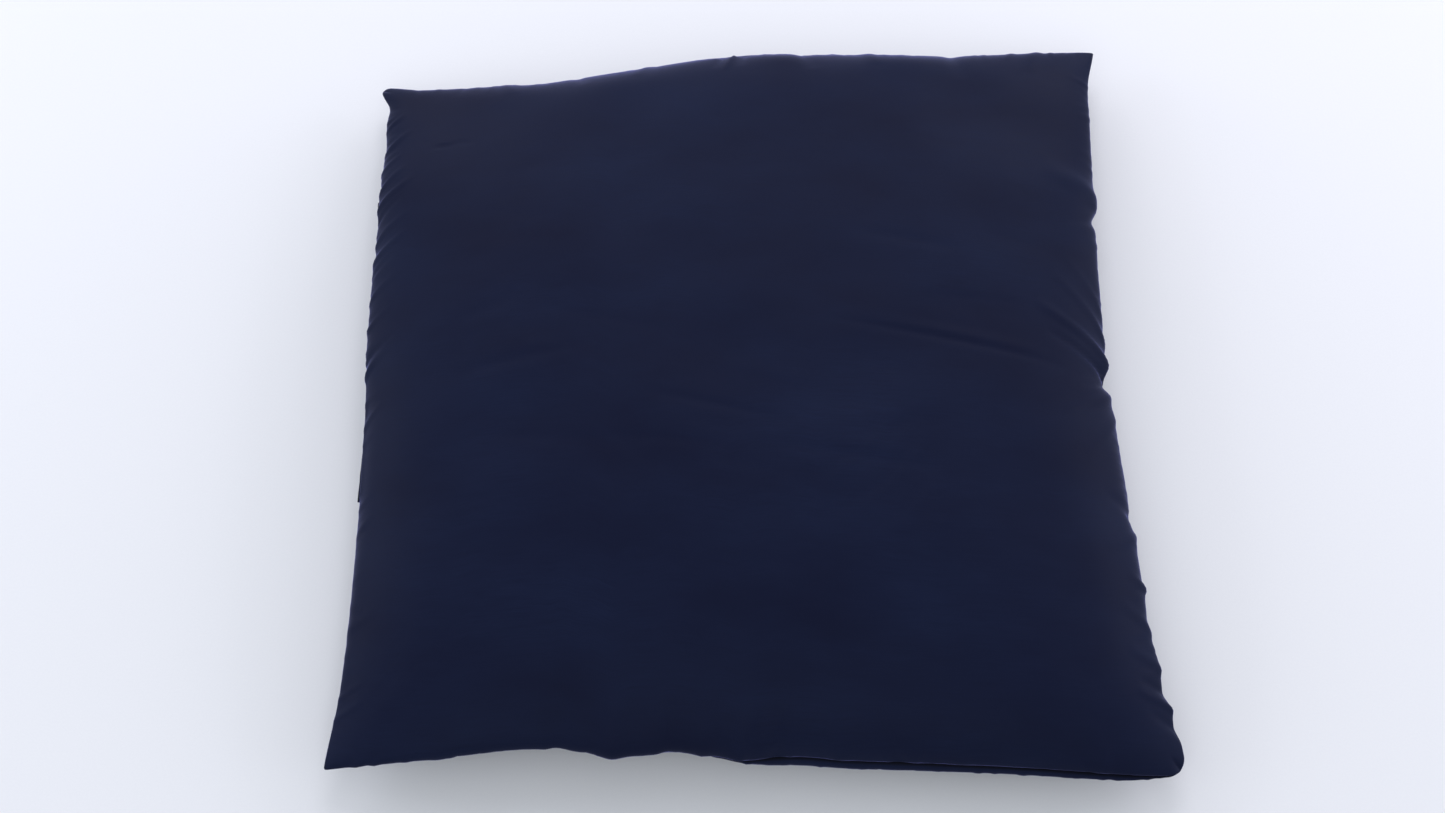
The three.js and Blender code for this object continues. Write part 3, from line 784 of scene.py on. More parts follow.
def shell_mesh(name, outer, inner, flip, wrap_rows=False, rim=None):
    """A closed mesh between two grids of points, smooth shaded, with the outer grid's distances as UV."""
    rows, columns = outer.shape[:2]
    count = rows * columns
    index = np.arange(count).reshape(rows, columns)
    ring = np.arange(rows) if wrap_rows else np.arange(rows - 1)
    nxt = (ring + 1) % rows
    a, b = index[ring][:, :-1], index[nxt][:, :-1]
    c, d = index[nxt][:, 1:], index[ring][:, 1:]
    faces = [np.stack([a, b, c, d], -1).reshape(-1, 4), np.stack([d, c, b, a], -1).reshape(-1, 4) + count]
    edges = [(index[ring, 0], index[nxt, 0], True), (index[ring, -1], index[nxt, -1], False)]
    if not wrap_rows:
        edges += [(index[0, :-1], index[0, 1:], False), (index[-1, :-1], index[-1, 1:], True)]
    for first, second, turned in edges:
        loop = [first, first + count, second + count, second]
        faces.append(np.stack(loop if turned else loop[::-1], -1))
    faces = np.concatenate(faces)
    if flip:
        faces = faces[:, ::-1]
    mesh = bpy.data.meshes.new(name)
    vertices = np.concatenate([outer.reshape(-1, 3), inner.reshape(-1, 3)])
    mesh.from_pydata(vertices.tolist(), [], faces.tolist())
    mesh.shade_smooth()
    u = np.pad(np.cumsum(np.linalg.norm(np.diff(outer, axis=0), axis=2), axis=0), [(1, 0), (0, 0)])
    v = np.pad(np.cumsum(np.linalg.norm(np.diff(outer, axis=1), axis=2), axis=1), [(0, 0), (1, 0)])
    flat = np.stack([u, v], -1).reshape(-1, 2)
    flat = np.concatenate([flat, flat])
    uv_map = mesh.uv_layers.new(name="cut_cloth")
    uv_map.data.foreach_set("uv", flat[faces.reshape(-1)].reshape(-1))
    if rim is not None:
        mark_rim(mesh, np.concatenate([rim.reshape(-1)] * 2))
    return mesh


top_inner = top_outer - outward_normals(top_outer, 1) * CLOTH_THICKNESS
bottom_inner = bottom_outer - outward_normals(bottom_outer, -1) * CLOTH_THICKNESS
print("cloth", CLOTH_THICKNESS / MM, "mm thick")

# %% [markdown]
# ## Helpers for finishes
#
# Each finish is a small node tree. Colours are given as hex codes, the way a colour card gives them,
# and one function turns them into the linear values that a renderer adds and multiplies. Another adds a
# node with its settings and links, so that each finish reads as a list of what is mixed with what.

# %% Small material helpers
def dye(code, alpha=1.0):
    """A hex colour, as linear red, green, blue and alpha."""
    parts = [int(code[i:i + 2], 16) / 255 for i in (0, 2, 4)]
    linear = [part / 12.92 if part <= 0.04045 else ((part + 0.055) / 1.055) ** 2.4 for part in parts]
    return (*linear, alpha)


def add(tree, kind, inputs=None, **settings):
    """Adds a node to a tree. An input is a value, or a socket of another node to link."""
    node = tree.nodes.new(kind)
    for key, value in settings.items():
        setattr(node, key, value)
    for key, value in (inputs or {}).items():
        if isinstance(value, bpy.types.NodeSocket):
            tree.links.new(value, node.inputs[key])
        else:
            node.inputs[key].default_value = value
    return node


def finish_tree(name):
    """A new material, its node tree and its shader."""
    material = bpy.data.materials.new(name)
    material.use_nodes = True
    tree = material.node_tree
    tree.nodes.clear()
    shader = add(tree, "ShaderNodeBsdfPrincipled")
    add(tree, "ShaderNodeOutputMaterial", {"Surface": shader.outputs["BSDF"]})
    return material, tree, shader


def bands(pitch):
    """The scale of a Wave texture whose bands stand pitch metres apart."""
    return 2 * math.pi / 20 / pitch


print("navy, linear:", [round(value, 4) for value in dye("1f2438")])

# %% [markdown]
# ## Navy cotton sateen
#
# Sateen is woven so that each weft thread floats over four warps and dips under one. The long floats lie
# side by side and give the smooth face its soft gleam, which is strongest where you look along the
# surface. Deep reactive dye takes almost all light, so what you see is mostly gleam: a little sheen with a
# violet cast over a very dark blue. The threads are about 0.2 mm apart on the real cloth. They are drawn
# 0.8 mm apart here, because finer ones would only shimmer. The odd thicker thread, a slub, runs a few
# centimetres along the weft. Where the cloth has been rubbed or pressed, broad patches look a shade
# lighter or darker. The pattern follows the cut cloth's own UV map. The last two millimetres at a seam or
# a fold are painted almost black: painted shade, for the groove where the cloth turns in.

# %% Make the sateen
WEFT_PITCH = 0.8 * MM
WARP_PITCH = 1.1 * MM
SLUB_LENGTH = 45 * MM
SLUB_WIDTH = 1.6 * MM
PATCH_LENGTH = 230 * MM
PATCH_WIDTH = 110 * MM

navy_sateen, tree, shader = finish_tree("navy_cotton_sateen")
cloth_map = add(tree, "ShaderNodeUVMap", uv_map="cut_cloth").outputs["UV"]
weft = add(tree, "ShaderNodeTexWave", {
    "Vector": cloth_map, "Scale": bands(WEFT_PITCH), "Distortion": 1.5, "Detail": 1.0, "Detail Scale": 0.02,
}, bands_direction="Y")
warp = add(tree, "ShaderNodeTexWave", {
    "Vector": cloth_map, "Scale": bands(WARP_PITCH), "Distortion": 1.5, "Detail": 1.0, "Detail Scale": 0.02,
}, bands_direction="X")
weave = add(tree, "ShaderNodeMath", {0: weft.outputs["Fac"], 1: warp.outputs["Fac"]}, operation="MULTIPLY")
stretched = add(tree, "ShaderNodeMapping", {
    "Vector": cloth_map, "Scale": (1 / SLUB_LENGTH, 1 / SLUB_WIDTH, 1.0),
})
slub = add(tree, "ShaderNodeTexNoise", {
    "Vector": stretched.outputs["Vector"], "Scale": 1.0, "Detail": 3.0, "Roughness": 0.6,
})
laid = add(tree, "ShaderNodeMapping", {
    "Vector": cloth_map, "Scale": (1 / PATCH_LENGTH, 1 / PATCH_WIDTH, 1.0),
})
patches = add(tree, "ShaderNodeTexNoise", {
    "Vector": laid.outputs["Vector"], "Scale": 1.0, "Detail": 4.0, "Roughness": 0.5,
})
brushed = add(tree, "ShaderNodeMapRange", {
    "Value": patches.outputs["Fac"], "From Min": 0.3, "From Max": 0.7,
})
shade = add(tree, "ShaderNodeValToRGB", {"Fac": slub.outputs["Fac"]})
shade.color_ramp.elements[0].position = 0.3
shade.color_ramp.elements[0].color = dye("121930")
shade.color_ramp.elements[1].position = 0.75
shade.color_ramp.elements[1].color = dye("161e37")
aged = add(tree, "ShaderNodeMix", {
    0: brushed.outputs["Result"], 6: shade.outputs["Color"], 7: dye("10152b"),
}, data_type="RGBA")
shine = add(tree, "ShaderNodeMapRange", {
    "Value": slub.outputs["Fac"], "From Min": 0.3, "From Max": 0.7, "To Min": 0.44, "To Max": 0.54,
})
relief = add(tree, "ShaderNodeMath", {0: slub.outputs["Fac"], 1: weave.outputs["Value"]}, operation="ADD")
# Painted shade: near a seam or fold the colour is mixed towards near-black, by the rim distance.
rim = add(tree, "ShaderNodeAttribute", attribute_name="rim")
painted_shade_share = add(tree, "ShaderNodeMapRange", {
    "Value": rim.outputs["Fac"], "From Min": 0.7 * MM, "From Max": 2.4 * MM, "To Min": 0.85, "To Max": 0.0,
})
painted_seam_shade = add(tree, "ShaderNodeMix", {
    0: painted_shade_share.outputs["Result"], 6: aged.outputs[2], 7: dye("04050c"),
}, data_type="RGBA")
grain = add(tree, "ShaderNodeBump", {
    "Strength": 0.45, "Distance": 0.08 * MM, "Height": relief.outputs["Value"],
})
tree.links.new(painted_seam_shade.outputs[2], shader.inputs["Base Color"])
tree.links.new(shine.outputs["Result"], shader.inputs["Roughness"])
tree.links.new(grain.outputs["Normal"], shader.inputs["Normal"])
shader.inputs["Specular IOR Level"].default_value = 0.045
shader.inputs["Sheen Weight"].default_value = 1.0
shader.inputs["Sheen Roughness"].default_value = 0.24
shader.inputs["Sheen Tint"].default_value = dye("8589d2")
print("sateen: weft drawn", WEFT_PITCH / MM, "mm apart")

# %% [markdown]
# ## The two cover panels
#
# The panels are separate pieces, as cut, each with its own rim. Both are stuffed.

# %% Make the cover
rim_top = np.minimum.reduce(list(depth_top.values()))
rim_bottom = np.minimum.reduce(list(depth_bottom.values()))
top_mesh = shell_mesh("cover_top", top_outer, top_inner, False, rim=rim_top)
bottom_mesh = shell_mesh("cover_bottom", bottom_outer, bottom_inner, True, rim=rim_bottom)
cover_top = link("cover_top", top_mesh, navy_sateen, stands_for=("cover_top_panel",))
cover_bottom = link("cover_bottom", bottom_mesh, navy_sateen, stands_for=("cover_bottom_panel",))
for piece in (cover_top, cover_bottom):
    print(piece.name, len(piece.data.polygons) * 2, "triangles")

# %% [markdown]
# ## The bound seam allowance
#
# Inside the cover, the two raw edges are pressed flat together and bound with an overlock stitch. This
# makes a narrow band that follows the seam a few millimetres in, and stops where the zip's tape begins.
# The band is a path that runs round inside the outline, cut across at the corners as a maker clips them.
# It is drawn in at the same pinches as the cloth, because it is sewn to it.

# %% Follow the seam at a distance
def seam_height_at(u, v):
    """Height of the seam surface over grid place u, v."""
    far, right = (1 + v) / 2, (1 + u) / 2
    left_corner = (1 - far) * SEAM_AT_CORNER["near_left"] + far * SEAM_AT_CORNER["far_left"]
    right_corner = (1 - far) * SEAM_AT_CORNER["near_right"] + far * SEAM_AT_CORNER["far_right"]
    corner = (1 - right) * left_corner + right * right_corner
    return SEAM_HEIGHT - (SEAM_HEIGHT - corner) * np.abs(u * v) ** CORNER_POWER


def seam_path(inset, clip, pinched=False, count=70):
    """A closed path inside the seam, clockwise from the left side's near end, as points in metres."""
    reach = 1 - inset / HALF_SIDE
    run = np.linspace(-reach + clip / HALF_SIDE, reach - clip / HALF_SIDE, count)
    lines = [(np.full(1, -reach), run), (run, np.full(1, reach)),
             (np.full(1, reach), run[::-1]), (run[::-1], np.full(1, -reach))]
    path = []
    for u, v in lines:
        plan_line = coons(u, v).reshape(-1, 2)
        height = seam_height_at(u[:, None], v[None]).reshape(-1, 1)
        line = np.hstack([plan_line, height])
        if pinched:
            depths = {"left": 1 + u, "right": 1 - u, "near": 1 + v, "far": 1 - v}
            depths = {side: HALF_SIDE * np.broadcast_to(tuft_hollow_shade, len(line)) for side, tuft_hollow_shade in depths.items()}
            for pinch_here in PINCHES:
                line = pinch(line, depths, *pinch_here)
        path.append(line)
    return np.concatenate(path)


def band_mesh(name, outer_line, inner_line, thickness, closed):
    """A flat band of cloth between two lines."""
    lift = np.array([0, 0, thickness / 2])
    upper = np.stack([outer_line + lift, inner_line + lift], 1)
    lower = np.stack([outer_line - lift, inner_line - lift], 1)
    return shell_mesh(name, upper, lower, False, wrap_rows=closed, rim=np.full(upper.shape[:2], BAND_RIM))


BAND_RIM = 5 * MM  # a narrow band is all within reach of a rim
ALLOWANCE_SETBACK = 4.5 * MM
ALLOWANCE_WIDTH = 6 * MM
ALLOWANCE_THICKNESS = 1.1 * MM
CORNER_CLIP = 12 * MM
ZIP_MARGIN = 14 * MM  # the band stops this far before the tape


def off_the_zip(path):
    """The same path, turned to start beyond the zip's far end and cut off before its near end."""
    on_left = np.arange(len(path)) < len(path) // 4
    beyond = np.nonzero(on_left & (path[:, 1] > ZIP_FAR + ZIP_MARGIN))[0][0]
    before = np.nonzero(on_left & (path[:, 1] < ZIP_NEAR - ZIP_MARGIN))[0][-1]
    return np.concatenate([path[beyond:], path[:before + 1]])


allowance_outer = off_the_zip(seam_path(ALLOWANCE_SETBACK, CORNER_CLIP, True))
allowance_inner = off_the_zip(seam_path(ALLOWANCE_SETBACK + ALLOWANCE_WIDTH, CORNER_CLIP, True))
allowance_length = np.linalg.norm(np.diff(allowance_outer, axis=0), axis=1).sum()
print(f"seam allowance: {allowance_length:.2f} m long")

# %% [markdown]
# ## Sewing thread
#
# Spun polyester is two plies of short fibre twisted together. It looks matt, slightly hairy, and a shade
# darker than the cloth it is matched to. The twist shows as slanting bands, about 0.4 mm apart.

# %% Make the thread finishes
PLY_PITCH = 0.4 * MM


def thread_finish(name, light, dark):
    """Spun thread between two shades, with the twist of its plies as bump."""
    material, tree, shader = finish_tree(name)
    here = add(tree, "ShaderNodeTexCoord").outputs["Object"]
    plies = add(tree, "ShaderNodeTexWave", {
        "Vector": here, "Scale": bands(PLY_PITCH), "Distortion": 0.6,
    }, bands_direction="DIAGONAL")
    hair = add(tree, "ShaderNodeTexNoise", {"Vector": here, "Scale": 1 / (0.5 * MM), "Detail": 4.0})
    mixed = add(tree, "ShaderNodeMix", {
        0: hair.outputs["Fac"], 6: dye(dark), 7: dye(light),
    }, data_type="RGBA")
    twist = add(tree, "ShaderNodeBump", {
        "Strength": 0.6, "Distance": 0.08 * MM, "Height": plies.outputs["Fac"],
    })
    tree.links.new(mixed.outputs[2], shader.inputs["Base Color"])
    tree.links.new(twist.outputs["Normal"], shader.inputs["Normal"])
    shader.inputs["Roughness"].default_value = 0.72
    shader.inputs["Specular IOR Level"].default_value = 0.2
    shader.inputs["Sheen Weight"].default_value = 0.15
    return material


navy_thread = thread_finish("navy_spun_polyester_thread", "1b2140", "0e1226")
white_thread = thread_finish("white_spun_polyester_thread", "e8e6df", "cfccc3")
cover_allowance = link(
    "cover_seam_allowance",
    band_mesh("cover_seam_allowance", allowance_outer, allowance_inner, ALLOWANCE_THICKNESS, False),
    navy_thread, stands_for=("cover_seam_overlock",))
print(cover_allowance.name, "made")

# %% [markdown]
# ## The inner cushion
#
# Inside the cover is a plain cushion of white cotton, sewn all round and stuffed with hollow polyester
# fibre. It is smaller than the cover and never shows, but it is there when the zip is opened. Each of its
# layers uses the same form as the cover, drawn in by an edge and lowered by a crown, so that no layer
# passes through the next. The cotton panels are closed shells, and the fibre is one lumpy body.

# %% Shape the inner layers
LAYER_CELLS = 72
CASING_EDGE = 24 * MM
CASING_CROWN = 6 * MM
CASING_FLOOR = 3.5 * MM
CASING_CLOTH = 0.5 * MM
FIBRE_EDGE = 37 * MM
FIBRE_CROWN = 11 * MM
FIBRE_FLOOR = 8 * MM
LAYER_SEAM_GAP = 0.3 * MM
INNER_ALLOWANCE = 0.9 * MM  # thickness of the inner cushion's two allowances together
INNER_INSETS = (3.5 * MM, 8.5 * MM)  # outer and inner edge of that band, from the casing's edge

layer_stations = even_stations(LAYER_CELLS)
LU, LV = np.meshgrid(layer_stations, layer_stations, indexing="ij")


def layer(edge, crown, floor_height, lumps):
    """Top and bottom grid of a layer inside the cover."""
    reach = 1 - edge / HALF_SIDE
    flat = coons(layer_stations * reach, layer_stations * reach)
    seam = seam_height_at(LU * reach, LV * reach)
    shape = dome(LU, LV)
    relief = lumps * shape * fibre_unevenness(np.dstack([flat, seam]), 1.0)
    high = seam + (CROWN - SEAM_HEIGHT - crown) * shape + relief
    low = np.maximum(floor_height, seam - SOLE_DEPTH * shape - relief)
    return np.dstack([flat, high]), np.dstack([flat, low])


casing_high, casing_low = layer(CASING_EDGE, CASING_CROWN, CASING_FLOOR, 0.4)
fibre_high, fibre_low = layer(FIBRE_EDGE, FIBRE_CROWN, FIBRE_FLOOR, 1.2)
print("inner cushion:", round(float(np.ptp(casing_high[..., 0])) / MM), "mm wide")

# %% [markdown]
# ## White cotton and polyester fibre
#
# The inner cover is plain-woven cotton, off-white and quite matt, with threads about 0.35 mm apart. The
# fibre is a tangle of fine crimped polyester: very white, soft, with no clear surface.

# %% Make the inner finishes
COTTON_PITCH = 0.7 * MM  # twice the real spacing, so that it shows
TUFT = 6 * MM

white_cotton, tree, shader = finish_tree("white_plain_woven_cotton")
here = add(tree, "ShaderNodeUVMap", uv_map="cut_cloth").outputs["UV"]
across = add(tree, "ShaderNodeTexWave", {"Vector": here, "Scale": bands(COTTON_PITCH), "Distortion": 0.8})
along = add(tree, "ShaderNodeTexWave", {
    "Vector": here, "Scale": bands(COTTON_PITCH), "Distortion": 0.8,
}, bands_direction="Y")
crossing = add(tree, "ShaderNodeMath", {
    0: across.outputs["Fac"], 1: along.outputs["Fac"],
}, operation="MULTIPLY")
uneven = add(tree, "ShaderNodeTexNoise", {"Vector": here, "Scale": 30.0, "Detail": 4.0})
off_white = add(tree, "ShaderNodeMix", {
    0: uneven.outputs["Fac"], 6: dye("dedacd"), 7: dye("efece3"),
}, data_type="RGBA")
raised = add(tree, "ShaderNodeBump", {
    "Strength": 0.5, "Distance": 0.1 * MM, "Height": crossing.outputs["Value"],
})
tree.links.new(off_white.outputs[2], shader.inputs["Base Color"])
tree.links.new(raised.outputs["Normal"], shader.inputs["Normal"])
shader.inputs["Roughness"].default_value = 0.85
shader.inputs["Sheen Weight"].default_value = 0.1

white_fibre, tree, shader = finish_tree("white_hollow_polyester_fibre")
here = add(tree, "ShaderNodeTexCoord").outputs["Object"]
tufts = add(tree, "ShaderNodeTexNoise", {
    "Vector": here, "Scale": 1 / TUFT, "Detail": 8.0, "Roughness": 0.7, "Distortion": 1.2,
})
# Painted shade: the same noise drives the bump, and its hollows are painted greyer.
tuft_hollow_shade = add(tree, "ShaderNodeMix", {
    0: tufts.outputs["Fac"], 6: dye("d9dade"), 7: dye("fbfbfd"),
}, data_type="RGBA")
fluffed = add(tree, "ShaderNodeBump", {
    "Strength": 0.8, "Distance": 2 * MM, "Height": tufts.outputs["Fac"],
})
tree.links.new(tuft_hollow_shade.outputs[2], shader.inputs["Base Color"])
tree.links.new(fluffed.outputs["Normal"], shader.inputs["Normal"])
shader.inputs["Roughness"].default_value = 0.95
shader.inputs["Sheen Weight"].default_value = 0.5
print("inner finishes made")

# %% [markdown]
# ## Sewing the inner cushion together
#
# The two cotton panels meet at their seam, and their own overlocked allowance lies inside it. The fibre's
# two grids share their rim, so they are welded into one body.

# %% Make the inner pieces
def closed_body(name, high, low):
    """One closed mesh from two grids that share their rim."""
    vertices, faces, _, _, _ = weld(high, low)
    mesh = bpy.data.meshes.new(name)
    mesh.from_pydata(vertices.tolist(), [], faces.tolist())
    mesh.shade_smooth()
    return mesh


gap = np.array([0, 0, LAYER_SEAM_GAP])
casing_top_skin, casing_bottom_skin = casing_high + gap, casing_low - gap
casing_bottom_skin[..., 2] = np.maximum(casing_bottom_skin[..., 2], CASING_FLOOR)
for name, skin, sign, node in (
    ("inner_casing_top_cloth", casing_top_skin, 1, "inner_casing_top"),
    ("inner_casing_bottom_cloth", casing_bottom_skin, -1, "inner_casing_bottom"),
):
    backing = skin - outward_normals(skin, sign) * CASING_CLOTH
    link(name, shell_mesh(name, skin, backing, sign < 0), white_cotton, stands_for=(node,))
fibre_mesh = closed_body("fibre_stuffing", fibre_high, fibre_low)
link("fibre_stuffing", fibre_mesh, white_fibre, stands_for=("fibre_filling",))
casing_seam = [seam_path(CASING_EDGE + inset, CORNER_CLIP) for inset in INNER_INSETS]
band = band_mesh("inner_seam_allowance", *casing_seam, INNER_ALLOWANCE, True)
link("inner_seam_allowance", band, white_cotton, stands_for=("inner_casing_overlock",))
print("pieces so far:", list(pieces))

# %% [markdown]
# ## The zip's lip and tapes
#
# The zip hangs between two woven tapes that are sewn behind the cover's edges. Below the slot the cloth is
# folded into a lip. It stands proud at its free near end and is tucked in beyond, as a side seam does
# where the pull of the stuffing is weaker. These are swept pieces: one closed outline is carried along the
# zip, and its shape changes on the way.

# %% A sweep along the zip
def sweep_mesh(name, outlines):
    """A closed mesh from an array of outlines, stations by points by 3. Its ends are capped."""
    stations, count = outlines.shape[:2]
    index = np.arange(stations * count).reshape(stations, count)
    nxt = np.roll(index, -1, axis=1)
    faces = np.stack([index[:-1], nxt[:-1], nxt[1:], index[1:]], -1).reshape(-1, 4).tolist()
    faces += [index[0][::-1].tolist(), index[-1].tolist()]
    mesh = bpy.data.meshes.new(name)
    mesh.from_pydata(outlines.reshape(-1, 3).tolist(), [], faces)
    around = np.cumsum(np.linalg.norm(np.diff(outlines, axis=1, append=outlines[:, :1]), axis=2), axis=1)
    flat = np.stack([outlines[..., 1], around], -1).reshape(-1, 2)
    loops = np.concatenate(faces[:-2]).tolist() + faces[-2] + faces[-1]
    mesh.uv_layers.new(name="cut_cloth").data.foreach_set("uv", flat[loops].reshape(-1))
    mesh.shade_smooth()
    return mesh


LIP_PROUD = 3.0 * MM
LIP_TUCK = 1.0 * MM
LIP_PROUD_LENGTH = 150 * MM
LIP_STATIONS = 160
lip_back = lip_high.x
lip_middle = (lip_low.z + lip_high.z) / 2
lip_half = (lip_high.z - lip_low.z) / 2


def lip_front(y):
    """How far out the lip's fold stands at y."""
    share = np.clip((y - ZIP_NEAR) / LIP_PROUD_LENGTH, 0, 1)
    eased = share**2 * (3 - 2 * share)
    return ZIP_FACE - (LIP_PROUD - (LIP_PROUD + LIP_TUCK) * eased)


lip_y = np.linspace(ZIP_NEAR, ZIP_FAR, LIP_STATIONS)
wander = 0.25 * MM * np.sin(lip_y / (11 * MM)) + 0.15 * MM * np.sin(lip_y / (4.7 * MM) + 1)
fold_front = lip_front(lip_y) + np.abs(wander)
nose = np.linspace(math.pi / 2, 3 * math.pi / 2, 9)
lip_outlines = np.array([
    [(front + lip_half * (1 + math.cos(a)), y, lip_middle + lip_half * math.sin(a)) for a in nose]
    + [(lip_back - 2 * MM, y, lip_middle - lip_half), (lip_back, y, lip_middle - lip_half * 0.8),
       (lip_back, y, lip_middle + lip_half * 0.8), (lip_back - 2 * MM, y, lip_middle + lip_half)]
    for front, y in zip(fold_front, lip_y)
])
lip_mesh = sweep_mesh("zip_lip_fold", lip_outlines)
# Painted shade: this distance makes the sateen paint the whole lip part way to near-black.
LIP_RIM = 1.6 * MM  # all of the lip lies near its folded rim
mark_rim(lip_mesh, np.full(len(lip_mesh.vertices), LIP_RIM))
link("zip_lip_fold", lip_mesh, navy_sateen, stands_for=("zip_lip",))
print("the lip stands out", round(float(ZIP_FACE - fold_front.min()) / MM, 1), "mm at its near end")

# %% [markdown]
# ## Woven zip tape
#
# A zip's tape is a dense polyester webbing, woven in a herringbone and dyed through. It looks flat and
# slightly harsh beside the sateen. Its ribs are 0.9 mm apart. The tape lies flat behind the coil and
# then follows the back of the cover's cloth, to which it is sewn.

# %% Make the tapes
TAPE_RIB = 0.9 * MM
TAPE_WIDTH = 14 * MM
TAPE_THICKNESS = 0.55 * MM
TAPE_STATIONS = 130
TAPE_HEIGHTS = 14
TAPE_INNER_EDGE = 0.6 * MM  # the two tapes' inner edges stand this far from the seam line
TAPE_BEHIND = 0.6 * MM  # gap between the cloth's back and the tape
TAPE_ROWS = 40  # rows of the panel that can lie in front of the tape

zip_tape, tree, shader = finish_tree("navy_woven_polyester_tape")
here = add(tree, "ShaderNodeTexCoord").outputs["Object"]
ribs = add(tree, "ShaderNodeTexWave", {
    "Vector": here, "Scale": bands(TAPE_RIB), "Distortion": 0.4,
}, bands_direction="Y")
herringbone = add(tree, "ShaderNodeTexWave", {
    "Vector": here, "Scale": bands(0.7 * TAPE_RIB),
}, bands_direction="DIAGONAL")
webbing = add(tree, "ShaderNodeMath", {
    0: ribs.outputs["Fac"], 1: herringbone.outputs["Fac"],
}, operation="MULTIPLY")
rib_tone = add(tree, "ShaderNodeMix", {
    0: webbing.outputs["Value"], 6: dye("10142a"), 7: dye("1c2344"),
}, data_type="RGBA")
rib_bump = add(tree, "ShaderNodeBump", {
    "Strength": 0.7, "Distance": 0.15 * MM, "Height": webbing.outputs["Value"],
})
tree.links.new(rib_tone.outputs[2], shader.inputs["Base Color"])
tree.links.new(rib_bump.outputs["Normal"], shader.inputs["Normal"])
shader.inputs["Roughness"].default_value = 0.68
shader.inputs["Specular IOR Level"].default_value = 0.3
shader.inputs["Sheen Weight"].default_value = 0.1



def cloth_back(panel, side, y, height):
    """Where the back of a panel's cloth stands on the left side, at places y and heights over the seam."""
    rows = panel[:TAPE_ROWS]
    place = np.array([[np.interp(at, row[:, 1], row[:, k]) for at in y] for row in rows for k in (0, 2)])
    x, z = place[0::2].T, (place[1::2].T - SEAM_HEIGHT) * side
    return np.array([np.interp(height, np.maximum.accumulate(up), out) for out, up in zip(x, z)])


tape_y = np.linspace(tape_low.y, tape_high.y, TAPE_STATIONS)
for name, side, node, panel in (
    ("zip_tape_up", 1, "zip_tape_upper", top_inner),
    ("zip_tape_down", -1, "zip_tape_lower", bottom_inner),
):
    height = np.linspace(TAPE_INNER_EDGE, TAPE_WIDTH, TAPE_HEIGHTS)
    behind = cloth_back(panel, side, tape_y, height) + TAPE_BEHIND
    neighbours = [np.roll(behind, step, axis) for step, axis in ((1, 1), (-1, 0), (1, 0))]
    front = np.maximum.reduce([behind, *neighbours, np.full(behind.shape, tape_low.x)])
    front[:, 0] = tape_low.x
    back = (front + TAPE_THICKNESS)[:, ::-1]
    outline_x = np.concatenate([front, back], 1)
    outline_z = SEAM_HEIGHT + side * np.concatenate([height, height[::-1]])
    outline_y = np.repeat(tape_y[:, None], 2 * TAPE_HEIGHTS, 1)
    outlines = np.dstack([outline_x, outline_y, np.repeat(outline_z[None], TAPE_STATIONS, 0)])
    link(name, sweep_mesh(name, outlines if side > 0 else outlines[:, ::-1]), zip_tape, stands_for=(node,))
print("tapes made,", round((tape_high.y - tape_low.y) / MM), "mm long")

# %% [markdown]
# ## Repeating a part along a path
#
# Coil teeth and stitches are one small part, many times over. One Geometry Nodes tree does them all: it
# spreads points along a path at a pitch, puts the part on each point with its x along the path, and turns
# and sizes each a little differently from a fixed seed. At the end the copies are made real geometry.

# %% Build the tree that repeats a part
def repeat_tree():
    """Geometry Nodes: a part repeated along a path."""
    tree = bpy.data.node_groups.new("repeat_along_path", "GeometryNodeTree")
    tree.interface.new_socket("Path", in_out="INPUT", socket_type="NodeSocketGeometry")
    for label, kind in {
        "Part": "Object", "Pitch": "Float", "Turn": "Float",
        "Uneven": "Float", "Seed": "Int", "Finish": "Material",
    }.items():
        tree.interface.new_socket(label, in_out="INPUT", socket_type="NodeSocket" + kind)
    tree.interface.new_socket("Result", in_out="OUTPUT", socket_type="NodeSocketGeometry")
    given = tree.nodes.new("NodeGroupInput").outputs
    curve = add(tree, "GeometryNodeMeshToCurve", {"Mesh": given["Path"]})
    spread = add(tree, "GeometryNodeCurveToPoints", {
        "Curve": curve.outputs["Curve"], "Length": given["Pitch"],
    }, mode="LENGTH")
    part = add(tree, "GeometryNodeObjectInfo", {"Object": given["Part"]})
    along = add(tree, "FunctionNodeAlignRotationToVector", {
        "Vector": spread.outputs["Tangent"],
    }, axis="X", pivot_axis="Z")
    less_turn = add(tree, "ShaderNodeMath", {0: given["Turn"], 1: -1.0}, operation="MULTIPLY")
    turn = add(tree, "FunctionNodeRandomValue", {
        "Min": less_turn.outputs["Value"], "Max": given["Turn"], "Seed": given["Seed"],
    }, data_type="FLOAT")
    swing = add(tree, "ShaderNodeCombineXYZ", {"Z": turn.outputs[1]})
    aimed = add(tree, "FunctionNodeRotateRotation", {
        "Rotation": along.outputs["Rotation"], "Rotate By": swing.outputs["Vector"],
    }, rotation_space="LOCAL")
    smallest = add(tree, "ShaderNodeMath", {0: 1.0, 1: given["Uneven"]}, operation="SUBTRACT")
    size = add(tree, "FunctionNodeRandomValue", {
        "Min": smallest.outputs["Value"], "Max": 1.0, "Seed": given["Seed"],
    }, data_type="FLOAT")
    copies = add(tree, "GeometryNodeInstanceOnPoints", {
        "Points": spread.outputs["Points"], "Instance": part.outputs["Geometry"],
        "Rotation": aimed.outputs["Rotation"], "Scale": size.outputs[1],
    })
    real = add(tree, "GeometryNodeRealizeInstances", {"Geometry": copies.outputs["Instances"]})
    dressed = add(tree, "GeometryNodeSetMaterial", {
        "Geometry": real.outputs["Geometry"], "Material": given["Finish"],
    })
    add(tree, "NodeGroupOutput", {"Result": dressed.outputs["Geometry"]})
    return tree


along_path = repeat_tree()
print("nodes in the tree:", len(along_path.nodes))

# %% [markdown]
# ## Using the tree
#
# The path is a row of joined points. The inputs are set before Blender first evaluates the object. The
# result is copied out as a plain mesh, so the modifier and the path can go.

